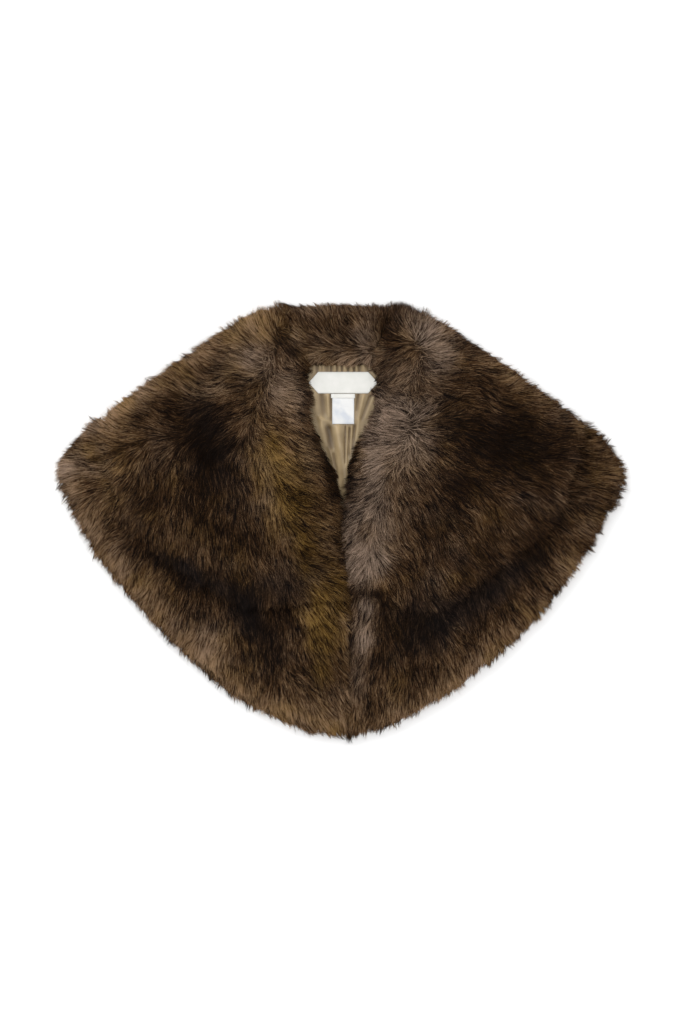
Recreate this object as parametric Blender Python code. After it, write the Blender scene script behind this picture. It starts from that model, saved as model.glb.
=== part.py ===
"""A fur collar wrap, laid flat on its back: a short cape of long pile with a wide shawl collar,
open at the neck on its satin lining. Lengths are in metres, and +Z is up.

Looking down on it, the hem is at -Y, the neck at +Y, and left and right are the viewer's.
From the floor up it lies as collar fall, back, lining, fronts and collar leaves.
"""

import math

import bmesh
import bpy

# The outline of the whole wrap, pile included.
HALF_WIDTH = 0.326
HEM_DEPTH = 0.245
HEM_CURVE = 2.63
HEM_FLAT = 0.007
HEM_FLAT_X = 0.155
HEM_FLAT_WIDTH = 0.055
NECK_TOP = 0.2475
NECK_BLEND = 0.014
LEFT_SHOULDER_X = 0.098
RIGHT_SHOULDER_X = 0.0925
SHOULDER_Y = 0.246
SHOULDER_SLOPE = 0.716
TIP_START = 0.285

# Thickness of each layer, and the gap left between touching layers. The back's pile is pressed
# thinner where it lies on the collar's fall, so that its upper side is level.
GAP = 0.0003
FALL = 0.011
BACK_TOP = 0.0243
SATIN = 0.0012
FRONT = 0.015
LEAF = 0.021
LABEL = 0.0006

# The collar's back fall, under the back panel.
FALL_EDGE = 0.055
FALL_CURVE = 0.96
FALL_HALF_WIDTH = 0.262
FALL_ROUND = 0.014
FALL_EDGE_SHARE = 0.45

# The body is tucked inside the collar along the shoulders, and reaches the outline at the tips.
BODY_TUCK = 0.024
TUCK_ENDS = (0.2685, 0.2745)
UNDER_RISE = (0.050, 0.008)

# The layers thin out towards the hem and the tips: how far in that reaches, and by how much.
HEM_ROUND = 0.062
HEM_SINK = 0.011
UNDER_ROUND = 0.020
UNDER_LIFT = 0.004
GROOVE_ROUND = 0.012
GROOVE = 0.003
FRONT_HEM_DROP = 0.0175
FRONT_EDGE_DROP = 0.008
FRONT_EDGE_ROUND = 0.026
FRONT_FOLD_DROP = 0.0125
FRONT_FOLD_ROUND = 0.040
FOLD_CLEAR = (0.028, 0.048)

# The collar's rounded edges: the free edge, the fold over the shoulder, and the roll.
LEAF_ROUND = 0.034
LEAF_EDGE_HIGH = 0.22
SHOULDER_ROUND = 0.046
SHOULDER_EDGE_Z = 0.023
LIP_IN = 0.009
LIP_OUT = 0.0135
ROLL_ROUND = 0.046
ROLL_EDGE = 0.005

# The centre front, the neck seam, and where the V of the opening closes.
CENTRE_FRONT = 0.0090
CENTRE_GAP = 0.0012
NECK_SEAM_Y = 0.1795
NECK_SIDE_PLACES = 8
V_POINT_Y = 0.002
FRONT_SETBACK = 0.037
LINING_REACH = 0.012
DROP_START = 0.015
DROP_END = 0.0215

# The two inner edges of the collar, from the neck seam down to the centre front.
NECK_EDGES = [
    # y, left x, right x
    (0.1795, -0.040, 0.036),
    (0.165, -0.046, 0.050),
    (0.138, -0.037, 0.047),
    (0.100, -0.025, 0.034),
    (0.058, -0.012, 0.020),
    (0.020, -0.001, 0.010),
    (-0.010, 0.000, 0.002),
    (-0.044, 0.004, 0.0055),
    (-0.088, 0.008, 0.0095),
]

# The collar leaves, a row for each section from the inner edge out to the free edge. A section
# that ends on the shoulder line has no y of its own there.
LEFT_LEAF = [
    # y on the inner edge, x and y of the outer end
    (-0.087, -0.012, -0.090),
    (-0.079, -0.046, -0.090),
    (-0.062, -0.086, -0.095),
    (-0.038, -0.126, -0.089),
    (-0.012, -0.166, -0.063),
    (0.015, -0.205, -0.037),
    (0.043, -0.238, -0.004),
    (0.068, -0.256, 0.041),
    (0.092, -0.266, 0.088),
    (0.113, -0.2675, None),
    (0.131, -0.225, None),
    (0.147, -0.178, None),
    (0.160, -0.132, None),
    (0.171, -0.095, None),
    (0.1795, -0.064, None),
]
RIGHT_LEAF = [
    # y on the inner edge, x and y of the outer end
    (-0.083, 0.024, -0.086),
    (-0.076, 0.054, -0.091),
    (-0.060, 0.088, -0.097),
    (-0.038, 0.124, -0.092),
    (-0.012, 0.164, -0.058),
    (0.015, 0.205, -0.028),
    (0.043, 0.241, 0.000),
    (0.068, 0.257, 0.040),
    (0.092, 0.266, 0.086),
    (0.113, 0.2675, None),
    (0.131, 0.225, None),
    (0.147, 0.178, None),
    (0.160, 0.134, None),
    (0.171, 0.100, None),
    (0.1795, 0.070, None),
]
LEFT_SEAM_TOP = -0.064
RIGHT_SEAM_TOP = 0.070
SEAM_CREASE = 0.009
SEAM_CREASE_WIDTH = 0.012

# Large folds, each a soft ridge (height over 0) or trough along a straight line.
LEFT_LEAF_FOLDS = [
    # from x, from y, to x, to y, half width, height
    (-0.058, 0.150, -0.044, 0.060, 0.026, 0.007),
    (-0.044, 0.060, -0.018, -0.060, 0.024, 0.007),
    (-0.150, 0.118, -0.132, -0.004, 0.026, -0.010),
    (-0.140, 0.080, -0.112, 0.064, 0.008, -0.005),
    (-0.232, 0.084, -0.150, 0.112, 0.012, -0.005),
    (-0.214, 0.050, -0.186, 0.000, 0.026, 0.003),
    (-0.098, 0.020, -0.078, -0.060, 0.020, -0.004),
]
RIGHT_LEAF_FOLDS = [
    # from x, from y, to x, to y, half width, height
    (0.088, 0.186, 0.074, 0.092, 0.026, 0.008),
    (0.074, 0.092, 0.030, -0.055, 0.026, 0.007),
    (0.158, 0.130, 0.178, 0.052, 0.030, -0.010),
    (0.116, 0.140, 0.124, 0.090, 0.014, -0.006),
    (0.113, -0.006, 0.115, -0.046, 0.010, -0.006),
    (0.168, 0.000, 0.206, 0.040, 0.026, 0.004),
    (0.236, 0.012, 0.250, -0.006, 0.010, -0.004),
]
LEFT_FRONT_FOLDS = [
    # from x, from y, to x, to y, half width, height
    (-0.142, -0.104, -0.122, -0.128, 0.018, 0.0035),
    (-0.078, -0.118, -0.070, -0.170, 0.018, -0.004),
    (-0.210, -0.062, -0.186, -0.094, 0.016, -0.003),
    (-0.030, -0.145, -0.022, -0.200, 0.020, 0.003),
]
RIGHT_FRONT_FOLDS = [
    # from x, from y, to x, to y, half width, height
    (0.034, -0.150, 0.034, -0.210, 0.018, 0.004),
    (0.080, -0.122, 0.085, -0.184, 0.014, -0.005),
    (0.140, -0.112, 0.128, -0.150, 0.020, 0.003),
    (0.206, -0.056, 0.184, -0.092, 0.018, -0.003),
]
LINING_FOLDS = [
    # from x, from y, to x, to y, half width, height
    (0.000, 0.092, 0.006, 0.036, 0.0045, 0.0040),
    (-0.016, 0.090, -0.009, 0.066, 0.0040, 0.0020),
    (0.016, 0.092, 0.010, 0.062, 0.0040, 0.0022),
]
PUCKERS = 10
PUCKER_HEIGHT = 0.0022
PUCKER_FADE = (0.1715, 0.1785)

# The labels on the lining, below the neck seam.
MAIN_LABEL_X = (-0.037, 0.042)
MAIN_LABEL_Y = (0.1455, 0.1700)
MAIN_LABEL_POINT = 0.011
CARE_LABEL_X = (-0.0100, 0.0150)
CARE_LABEL_Y = (0.1105, 0.1450)
SIZE_TAB_X = (-0.0115, 0.0160)
SIZE_TAB_Y = (0.1400, 0.1448)

# Distances between the mesh's rows near an edge, and the number of even steps between.
EDGE_ROWS = [0.0, 0.003, 0.008, 0.016, 0.028]
HEM_ROWS = [0.0, 0.003, 0.008, 0.016, 0.028, 0.044, 0.064]
TIP_COLUMNS = [0.0, 0.003, 0.008, 0.016, 0.028, 0.040, 0.050, 0.056]
ROLL_ROWS = [0.0, 0.003, 0.008, DROP_START, DROP_END, 0.032]
LIP_ROWS = [0.0, 0.003, 0.006, LIP_IN, LIP_OUT, 0.020, 0.031]
SIDE_STEPS = 8
BODY_STEPS = 10
BODY_GROWTH = 1.5
HEM_ROWS_MOST = 0.42
MIDDLE_LEAST = 0.1
LEAF_STEPS = 8
LEAF_SECTIONS = 34
STAND_SECTIONS = 12
STAND_STEPS = 2
PUCKER_ROWS = [0.0, 0.003, 0.0055, 0.008, 0.012]
PUCKER_COLUMNS = 4
STRAIGHT = 1e-4

DARK_BROWN = (0.045, 0.028, 0.018)
MID_BROWN = (0.090, 0.058, 0.034)
GREY_BROWN = (0.130, 0.095, 0.070)
GOLD_BROWN = (0.120, 0.078, 0.032)
SATIN_TAN = (0.330, 0.250, 0.150)
LABEL_WHITE = (0.800, 0.780, 0.740)
FUR_ROUGHNESS = 0.70
SATIN_ROUGHNESS = 0.38
LABEL_ROUGHNESS = 0.55


def ease(low, high, value):
    """0 below low, 1 above high and smooth between."""
    share = min(max((value - low) / (high - low), 0.0), 1.0)
    return share * share * (3.0 - 2.0 * share)


def rim(distance, width):
    """The height of a rounded edge, from 0 at the edge to 1 at width in from it."""
    share = min(max(distance / width, 0.0), 1.0)
    return math.sqrt(1.0 - (1.0 - share) ** 2)


def mix(first, second, share):
    return first + (second - first) * share


def smooth_rows(rows, count):
    """count rows along a smooth curve through the given rows."""
    made = []
    for step in range(count):
        place = (len(rows) - 1) * step / (count - 1)
        start = min(int(place), len(rows) - 2)
        share = place - start
        before = rows[max(start - 1, 0)]
        after = rows[min(start + 2, len(rows) - 1)]
        row = []
        for a, b, c, d in zip(before, rows[start], rows[start + 1], after):
            bend = 2.0 * a - 5.0 * b + 4.0 * c - d
            twist = 3.0 * (b - c) + d - a
            row.append(b + 0.5 * share * (c - a + share * (bend + share * twist)))
        made.append(tuple(row))
    return made


def distance_to(line, x, y):
    """How far the point lies from a line of points."""
    nearest = math.inf
    for (ax, ay), (bx, by) in zip(line, line[1:]):
        run_x = bx - ax
        run_y = by - ay
        length = max(run_x * run_x + run_y * run_y, 1e-12)
        share = min(max(((x - ax) * run_x + (y - ay) * run_y) / length, 0.0), 1.0)
        nearest = min(nearest, math.hypot(x - ax - share * run_x, y - ay - share * run_y))
    return nearest


def folds_at(folds, x, y):
    """The height that the folds add at this place."""
    total = 0.0
    for from_x, from_y, to_x, to_y, half_width, height in folds:
        away = distance_to([(from_x, from_y), (to_x, to_y)], x, y)
        total += height * math.exp(-((away / half_width) ** 2))
    return total


def shoulder_y(x):
    """The top edge: the two slanted shoulders, and the level top of the collar between them."""
    start = LEFT_SHOULDER_X if x < 0.0 else RIGHT_SHOULDER_X
    line = SHOULDER_Y - SHOULDER_SLOPE * (abs(x) - start)
    return 0.5 * (line + NECK_TOP - math.hypot(line - NECK_TOP, NECK_BLEND))


def hem_y(x):
    """The hem's curve, which is a little flatter on each side of the middle."""
    flat = HEM_FLAT * math.exp(-(((abs(x) - HEM_FLAT_X) / HEM_FLAT_WIDTH) ** 2))
    return HEM_CURVE * x * x - HEM_DEPTH + flat


def outline(x):
    """The lowest and the highest y of the wrap at this x, drawn together round the tips."""
    past = max(abs(x) - TIP_START, 0.0) / (HALF_WIDTH - TIP_START)
    tip = math.sqrt(max(1.0 - past * past, 0.0))
    middle = 0.5 * (hem_y(x) + shoulder_y(x))
    half = 0.5 * (shoulder_y(x) - hem_y(x)) * tip
    return middle - half, middle + half


def steepness(edge, x):
    """How much longer a step along the edge is than its run in x."""
    rise = (edge(x + STRAIGHT) - edge(x - STRAIGHT)) / (2.0 * STRAIGHT)
    return math.hypot(1.0, rise)


def hem_distance(x, y):
    return min((y - outline(x)[0]) / steepness(hem_y, x), HALF_WIDTH - abs(x))


def shoulder_distance(x, y):
    return min((outline(x)[1] - y) / steepness(shoulder_y, x), HALF_WIDTH - abs(x))


def body_top(x):
    """The body's top edge, tucked inside the collar as far as the collar reaches."""
    tuck = BODY_TUCK * (1.0 - ease(*TUCK_ENDS, abs(x)))
    return outline(x)[1] - tuck * steepness(shoulder_y, x)


def fall_edge(x):
    return FALL_EDGE + FALL_CURVE * x * x


def back_top(x, y):
    """The level top of the back, which sinks towards the hem and the tips."""
    return BACK_TOP - HEM_SINK * (1.0 - rim(hem_distance(x, y), HEM_ROUND))


FRONT_TOP = BACK_TOP + GAP + FRONT
SATIN_TOP = BACK_TOP + GAP + SATIN
CREST = FRONT_TOP + GAP + LEAF


def inner_edge(side):
    """The collar's inner edge on one side, as a smooth line of points from the neck down."""
    column = 1 if side < 0 else 2
    rows = [(row[column], row[0]) for row in NECK_EDGES]
    return smooth_rows(rows, 3 * len(rows))


def inner_x(side, y):
    line = inner_edge(side)
    for (ax, ay), (bx, by) in zip(line, line[1:]):
        if by <= y <= ay:
            return mix(bx, ax, (y - by) / (ay - by))
    return line[0][0] if y > line[0][1] else line[-1][0]


def leaf_rows(leaf):
    """A leaf's sections as smooth rows of inner y and outer x and y."""
    rows = []
    for inner_y, end_x, end_y in leaf:
        rows.append((inner_y, end_x, shoulder_y(end_x) if end_y is None else end_y))
    return [(y, x, min(top, outline(x)[1])) for y, x, top in smooth_rows(rows, LEAF_SECTIONS)]


def below_leaf(line, x, y):
    """How far below the leaf's free edge the place lies, or under 0 where the leaf covers it."""
    crossings = [
        mix(ay, by, (x - ax) / (bx - ax))
        for (ax, ay), (bx, by) in zip(line, line[1:])
        if ax != bx and min(ax, bx) <= x <= max(ax, bx)
    ]
    return min(crossings) - y if crossings else HALF_WIDTH


def stations(length, start, end, steps, growth=1.0):
    """Distances along a section: close rows near its two ends and steps between, even or growing."""
    scale = min(1.0, 0.45 * length / max(start[-1], end[-1]))
    first = [distance * scale for distance in start]
    last = [length - distance * scale for distance in reversed(end)]
    shares = [(count / steps) ** growth for count in range(1, steps)]
    return first + [mix(first[-1], last[0], share) for share in shares] + last


def across(start, end, distances):
    """Points at these distances along the straight line from start to end."""
    length = math.dist(start, end)
    return [
        (mix(start[0], end[0], away / length), mix(start[1], end[1], away / length))
        for away in distances
    ]


def finish_for(name, colour, roughness):
    material = bpy.data.materials.new(name)
    material.use_nodes = True
    shader = material.node_tree.nodes["Principled BSDF"]
    shader.inputs["Base Color"].default_value = (*colour, 1.0)
    shader.inputs["Roughness"].default_value = roughness
    shader.inputs["Metallic"].default_value = 0.0
    return material


def panel(name, material, sections, floor, roof):
    """One closed wall of cloth. Its sections are rows of (x, y) places, all of one length, and
    floor and roof give its lower and upper z at a place."""
    work = bmesh.new()
    lower = []
    upper = []
    for row in sections:
        lower.append([work.verts.new((x, y, floor(x, y))) for x, y in row])
        upper.append([work.verts.new((x, y, roof(x, y))) for x, y in row])
    last_row = len(sections) - 1
    last = len(sections[0]) - 1
    for i in range(last_row):
        for j in range(last):
            near, far = upper[i], upper[i + 1]
            work.faces.new((near[j], far[j], far[j + 1], near[j + 1]))
            near, far = lower[i], lower[i + 1]
            work.faces.new((near[j], near[j + 1], far[j + 1], far[j]))
        work.faces.new((upper[i + 1][0], upper[i][0], lower[i][0], lower[i + 1][0]))
        work.faces.new((upper[i][last], upper[i + 1][last], lower[i + 1][last], lower[i][last]))
    for j in range(last):
        near, far = upper[0], lower[0]
        work.faces.new((near[j], near[j + 1], far[j + 1], far[j]))
        near, far = upper[last_row], lower[last_row]
        work.faces.new((near[j + 1], near[j], far[j], far[j + 1]))
    if work.calc_volume(signed=True) < 0.0:
        bmesh.ops.reverse_faces(work, faces=work.faces)
    mesh = bpy.data.meshes.new(name)
    work.to_mesh(mesh)
    work.free()
    mesh.materials.append(material)
    mesh.shade_smooth()
    piece = bpy.data.objects.new(name, mesh)
    bpy.context.collection.objects.link(piece)
    return piece


def make_collar_fall(material):
    """The collar's back fall: it lies face down under the back, from the shoulders to its edge."""
    columns = stations(2.0 * FALL_HALF_WIDTH, EDGE_ROWS, EDGE_ROWS, 2 * SIDE_STEPS)
    sections = []
    for column in columns:
        x = column - FALL_HALF_WIDTH
        start = (x, fall_edge(x))
        end = (x, outline(x)[1])
        rows = stations(end[1] - start[1], EDGE_ROWS, EDGE_ROWS, 4)
        sections.append(across(start, end, rows))
    free_edge = [row[0] for row in sections]

    def floor(x, y):
        inside = min(shoulder_distance(x, y), distance_to(free_edge, x, y))
        return FALL * FALL_EDGE_SHARE * (1.0 - rim(inside, FALL_ROUND))

    def roof(x, y):
        inside = distance_to(free_edge, x, y)
        share = mix(1.0 - FALL_EDGE_SHARE, 1.0, rim(inside, FALL_ROUND))
        return FALL * share

    panel("collar_fall", material, sections, floor, roof)


def body_rows(x, length):
    """Distances of a body panel's rows from the hem, the same near it on the back and a front."""
    whole = body_top(x) - outline(x)[0]
    scale = steepness(hem_y, x) * min(1.0, HEM_ROWS_MOST * whole / HEM_ROWS[-1])
    from_hem = [away * min(scale, HEM_ROWS_MOST * whole / HEM_ROWS[-1]) for away in HEM_ROWS]
    return stations(length, from_hem, EDGE_ROWS, BODY_STEPS, BODY_GROWTH)


def rows_over_fall(x, rows):
    """The back's rows, with the middle ones set where it climbs on to the collar's fall."""
    near = len(HEM_ROWS)
    first, last = rows[near - 1], rows[-len(EDGE_ROWS)]
    least = MIDDLE_LEAST * (last - first)
    climb = [fall_edge(x) - away - outline(x)[0] for away in UNDER_RISE]
    low = min(max(climb[0], first + least), last - 2.0 * least)
    high = min(max(climb[1], low + least), last - least)
    middle = []
    for start, end, steps in ((first, low, 3), (low, high, 4), (high, last, 3)):
        middle += [mix(start, end, (step + 1) / steps) for step in range(steps)]
    return rows[:near] + middle[:-1] + rows[-len(EDGE_ROWS):]


def body_columns(side):
    """Places of the sections of one half, from the centre front out to the tip."""
    reach = HALF_WIDTH - 0.5 * EDGE_ROWS[1] - side * CENTRE_FRONT
    places = stations(reach, EDGE_ROWS, TIP_COLUMNS, SIDE_STEPS + 2)
    return [CENTRE_FRONT + side * away for away in places]


def make_body_back(material):
    """The back panel, pile down: it rests on the floor, and on the collar's fall at the neck."""
    sections = []
    for x in body_columns(-1)[:0:-1] + body_columns(1):
        start = outline(x)[0]
        rows = rows_over_fall(x, body_rows(x, body_top(x) - start))
        sections.append([(x, start + away) for away in rows])

    def floor(x, y):
        inside = min(hem_distance(x, y), shoulder_distance(x, y))
        on_fall = (FALL + GAP) * ease(-UNDER_RISE[0], -UNDER_RISE[1], y - fall_edge(x))
        return on_fall + UNDER_LIFT * (1.0 - rim(inside, UNDER_ROUND))

    panel("body_back", material, sections, floor, back_top)


def make_body_front(name, side, leaf, folds, material):
    """A front, pile up: from the centre front out to the tip. Its neck side lies under the collar."""
    leaf_edge = [(x, y) for _, x, y in leaf_rows(leaf)]
    leaf_edge = [(CENTRE_FRONT, leaf_edge[0][1])] + leaf_edge
    columns = body_columns(side)
    columns[0] += side * 0.5 * CENTRE_GAP
    centre = columns[0]
    height = NECK_SEAM_Y + BODY_TUCK - V_POINT_Y
    neck_side = [(centre, V_POINT_Y - FRONT_SETBACK - BODY_TUCK)]
    for step in range(NECK_SIDE_PLACES + 1):
        y = V_POINT_Y + height * step / NECK_SIDE_PLACES
        neck_side.append((inner_x(side, y) + side * FRONT_SETBACK, y))

    def top_at(x):
        top = body_top(x)
        for (ax, ay), (bx, by) in zip(neck_side, neck_side[1:]):
            if min(ax, bx) <= x <= max(ax, bx) and bx != ax:
                top = min(top, mix(ay, by, (x - ax) / (bx - ax)))
        return top

    def floor(x, y):
        groove = GROOVE * (1.0 - rim(hem_distance(x, y), GROOVE_ROUND))
        return back_top(x, y) + GAP + groove

    def roof(x, y):
        hem = FRONT_HEM_DROP * (1.0 - rim(hem_distance(x, y), HEM_ROUND))
        edge = FRONT_EDGE_DROP * (1.0 - rim(side * (x - centre), FRONT_EDGE_ROUND))
        folded = (body_top(x) - y) / steepness(shoulder_y, x)
        fold = FRONT_FOLD_DROP * (1.0 - rim(folded, FRONT_FOLD_ROUND))
        clear = ease(*FOLD_CLEAR, below_leaf(leaf_edge, x, y))
        relief = folds_at(folds, x, y) * ease(0.0, HEM_ROUND, hem_distance(x, y)) * clear
        return FRONT_TOP - max(hem, edge, fold) + relief

    sections = []
    for x in columns:
        start = outline(x)[0]
        sections.append([(x, start + away) for away in body_rows(x, top_at(x) - start)])
    panel(name, material, sections, floor, roof)


def shoulder_lip(x, y, z):
    """Takes a collar piece's underside down to the fall, where it wraps the shoulder."""
    return mix(FALL + GAP, z, ease(LIP_IN, LIP_OUT, shoulder_distance(x, y)))


def shoulder_form(x, y):
    """The rounded fold of the collar over the shoulder and the back of the neck."""
    return mix(SHOULDER_EDGE_Z, CREST, rim(shoulder_distance(x, y), SHOULDER_ROUND))


def seam_crease(x, y):
    """The dip where a leaf turns the corner into the stand behind the neck."""
    dip = 0.0
    for foot, top in ((NECK_EDGES[0][1], LEFT_SEAM_TOP), (NECK_EDGES[0][2], RIGHT_SEAM_TOP)):
        away = distance_to([(foot, NECK_SEAM_Y), (top, shoulder_y(top))], x, y)
        dip += SEAM_CREASE * math.exp(-((away / SEAM_CREASE_WIDTH) ** 2))
    return dip * ease(0.0, SHOULDER_ROUND, shoulder_distance(x, y))


def make_collar_leaf(name, side, leaf, folds, material):
    """A leaf of the shawl collar: from its roll at the opening out to its free edge."""
    sections = []
    for inner_y, end_x, end_y in leaf_rows(leaf):
        start = (inner_x(side, inner_y), inner_y)
        end = (end_x, end_y)
        length = math.dist(start, end)
        sections.append(across(start, end, stations(length, ROLL_ROWS, LIP_ROWS, LEAF_STEPS)))
    roll_edge = [row[0] for row in sections]
    free_edge = [roll_edge[0]] + [row[-1] for row in sections]

    def base(x, y):
        """What the leaf rests on: the front, or the lining and the back in the opening."""
        dropped = 1.0 - ease(DROP_START, DROP_END, distance_to(roll_edge, x, y))
        dropped *= ease(V_POINT_Y, V_POINT_Y + FRONT_SETBACK, y)
        return mix(FRONT_TOP, SATIN_TOP, dropped) + GAP

    def floor(x, y):
        return shoulder_lip(x, y, base(x, y))

    def roof(x, y):
        free = distance_to(free_edge, x, y)
        rolled = distance_to(roll_edge, x, y)
        free_form = CREST - LEAF * (1.0 - LEAF_EDGE_HIGH) * (1.0 - rim(free, LEAF_ROUND))
        opened = ease(V_POINT_Y, V_POINT_Y + FRONT_SETBACK, y)
        roll_foot = mix(FRONT_TOP, SATIN_TOP, opened) + GAP + ROLL_EDGE
        roll_form = mix(roll_foot, CREST, rim(rolled, ROLL_ROUND))
        height = min(free_form, shoulder_form(x, y), roll_form)
        soft = ease(0.0, LEAF_ROUND, min(free, shoulder_distance(x, y))) * ease(0.0, 0.02, rolled)
        return height + folds_at(folds, x, y) * soft - seam_crease(x, y) * ease(0.0, 0.02, rolled)

    panel(name, material, sections, floor, roof)


def make_collar_back(material):
    """The stand of the collar behind the neck, between the leaves: it rises from the neck seam,
    rolls over and comes down on the fall."""
    sections = []
    for step in range(STAND_SECTIONS + 1):
        share = step / STAND_SECTIONS
        start_x = mix(NECK_EDGES[0][1] + GAP, NECK_EDGES[0][2] - GAP, share)
        end_x = mix(LEFT_SEAM_TOP + GAP, RIGHT_SEAM_TOP - GAP, share)
        start = (start_x, NECK_SEAM_Y)
        end = (end_x, shoulder_y(end_x))
        rows = stations(math.dist(start, end), ROLL_ROWS, LIP_ROWS, STAND_STEPS)
        sections.append(across(start, end, rows))
    neck_seam = [row[0] for row in sections]

    def floor(x, y):
        return shoulder_lip(x, y, SATIN_TOP + GAP)

    def roof(x, y):
        rolled = distance_to(neck_seam, x, y)
        roll_form = mix(SATIN_TOP + GAP + ROLL_EDGE, CREST, rim(rolled, ROLL_ROUND))
        crease = seam_crease(x, y) * ease(0.0, 0.02, rolled)
        return min(roll_form, shoulder_form(x, y)) - crease

    panel("collar_back", material, sections, floor, roof)


def satin_relief(x, y):
    """The lining's puckers at the neck seam, its centre pleat and its side wrinkles."""
    inside = min(x - inner_x(-1, y), inner_x(1, y) - x)
    shown = ease(0.002, 0.007, inside)
    wave = 0.5 - 0.5 * math.cos(2.0 * math.pi * PUCKERS * (x - NECK_EDGES[0][1])
                                / (NECK_EDGES[0][2] - NECK_EDGES[0][1]))
    pucker = PUCKER_HEIGHT * wave * ease(*PUCKER_FADE, y)
    return shown * (pucker + folds_at(LINING_FOLDS, x, y))


def make_back_lining(material):
    """The satin lining of the back, as far as it shows in the neck opening and just under its edges."""
    heights = [NECK_SEAM_Y - GAP - away for away in PUCKER_ROWS]
    below_label = CARE_LABEL_Y[0] - PUCKER_ROWS[1]
    for start, end, steps in ((heights[-1], below_label, 3), (below_label, V_POINT_Y, 9)):
        heights += [mix(start, end, (step + 1) / steps) for step in range(steps)]
    sections = []
    for y in heights:
        left = inner_x(-1, y) - LINING_REACH
        right = inner_x(1, y) + LINING_REACH
        margin = LINING_REACH / 2
        count = PUCKERS * PUCKER_COLUMNS
        step = (right - left - 2.0 * margin) / count
        places = [left] + [left + margin + step * column for column in range(count + 1)] + [right]
        sections.append([(x, y) for x in places])

    def floor(x, y):
        return BACK_TOP + GAP + satin_relief(x, y)

    def roof(x, y):
        return floor(x, y) + SATIN

    panel("back_lining", material, sections, floor, roof)


def make_label(name, width, height, point, under, material):
    """A flat label on the lining. A woven label's ends come to a point; under is what it lies on."""
    middle = 0.5 * (height[0] + height[1])
    sections = []
    for share in (0.0, 0.5, 1.0):
        y = mix(height[0], height[1], share)
        drawn_in = point * abs(y - middle) / (0.5 * (height[1] - height[0]))
        ends = (width[0] + drawn_in, width[1] - drawn_in)
        sections.append([(mix(*ends, column / 6), y) for column in range(7)])

    def floor(x, y):
        return SATIN_TOP + GAP + under

    def roof(x, y):
        return floor(x, y) + LABEL

    panel(name, material, sections, floor, roof)


def centre_on_floor():
    """Puts the origin under the middle of the outline, on the floor."""
    pieces = [piece for piece in bpy.data.objects if piece.type == "MESH"]
    corners = [vertex.co for piece in pieces for vertex in piece.data.vertices]
    middle_x = 0.5 * (min(co.x for co in corners) + max(co.x for co in corners))
    middle_y = 0.5 * (min(co.y for co in corners) + max(co.y for co in corners))
    lowest = min(co.z for co in corners)
    for piece in pieces:
        for vertex in piece.data.vertices:
            vertex.co.x -= middle_x
            vertex.co.y -= middle_y
            vertex.co.z -= lowest


def make_wrap():
    for old in list(bpy.data.objects):
        bpy.data.objects.remove(old, do_unlink=True)
    dark = finish_for("dark_fur", DARK_BROWN, FUR_ROUGHNESS)
    brown = finish_for("brown_fur", MID_BROWN, FUR_ROUGHNESS)
    grey = finish_for("grey_fur", GREY_BROWN, FUR_ROUGHNESS)
    gold = finish_for("gold_fur", GOLD_BROWN, FUR_ROUGHNESS)
    satin = finish_for("tan_satin", SATIN_TAN, SATIN_ROUGHNESS)
    white = finish_for("label_white", LABEL_WHITE, LABEL_ROUGHNESS)
    make_collar_fall(dark)
    make_body_back(dark)
    make_body_front("body_front_left", -1, LEFT_LEAF, LEFT_FRONT_FOLDS, gold)
    make_body_front("body_front_right", 1, RIGHT_LEAF, RIGHT_FRONT_FOLDS, brown)
    make_collar_leaf("collar_left", -1, LEFT_LEAF, LEFT_LEAF_FOLDS, brown)
    make_collar_leaf("collar_right", 1, RIGHT_LEAF, RIGHT_LEAF_FOLDS, grey)
    make_collar_back(brown)
    make_back_lining(satin)
    make_label("main_label", MAIN_LABEL_X, MAIN_LABEL_Y, MAIN_LABEL_POINT, 0.0, white)
    make_label("care_label", CARE_LABEL_X, CARE_LABEL_Y, 0.0, 0.0, white)
    make_label("size_tab", SIZE_TAB_X, SIZE_TAB_Y, 0.0, LABEL + GAP, white)
    centre_on_floor()


make_wrap()
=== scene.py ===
"""The looks of a fur collar wrap that lies flat on its back: the ground cloths with their pile, the
satin lining and the sewn-in labels. Lengths are in metres unless a table says millimetres, and
headings are degrees round +Z from +X."""

import math

import bpy
import numpy as np
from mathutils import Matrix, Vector, noise
from mathutils.bvhtree import BVHTree
from mathutils.kdtree import KDTree


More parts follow.
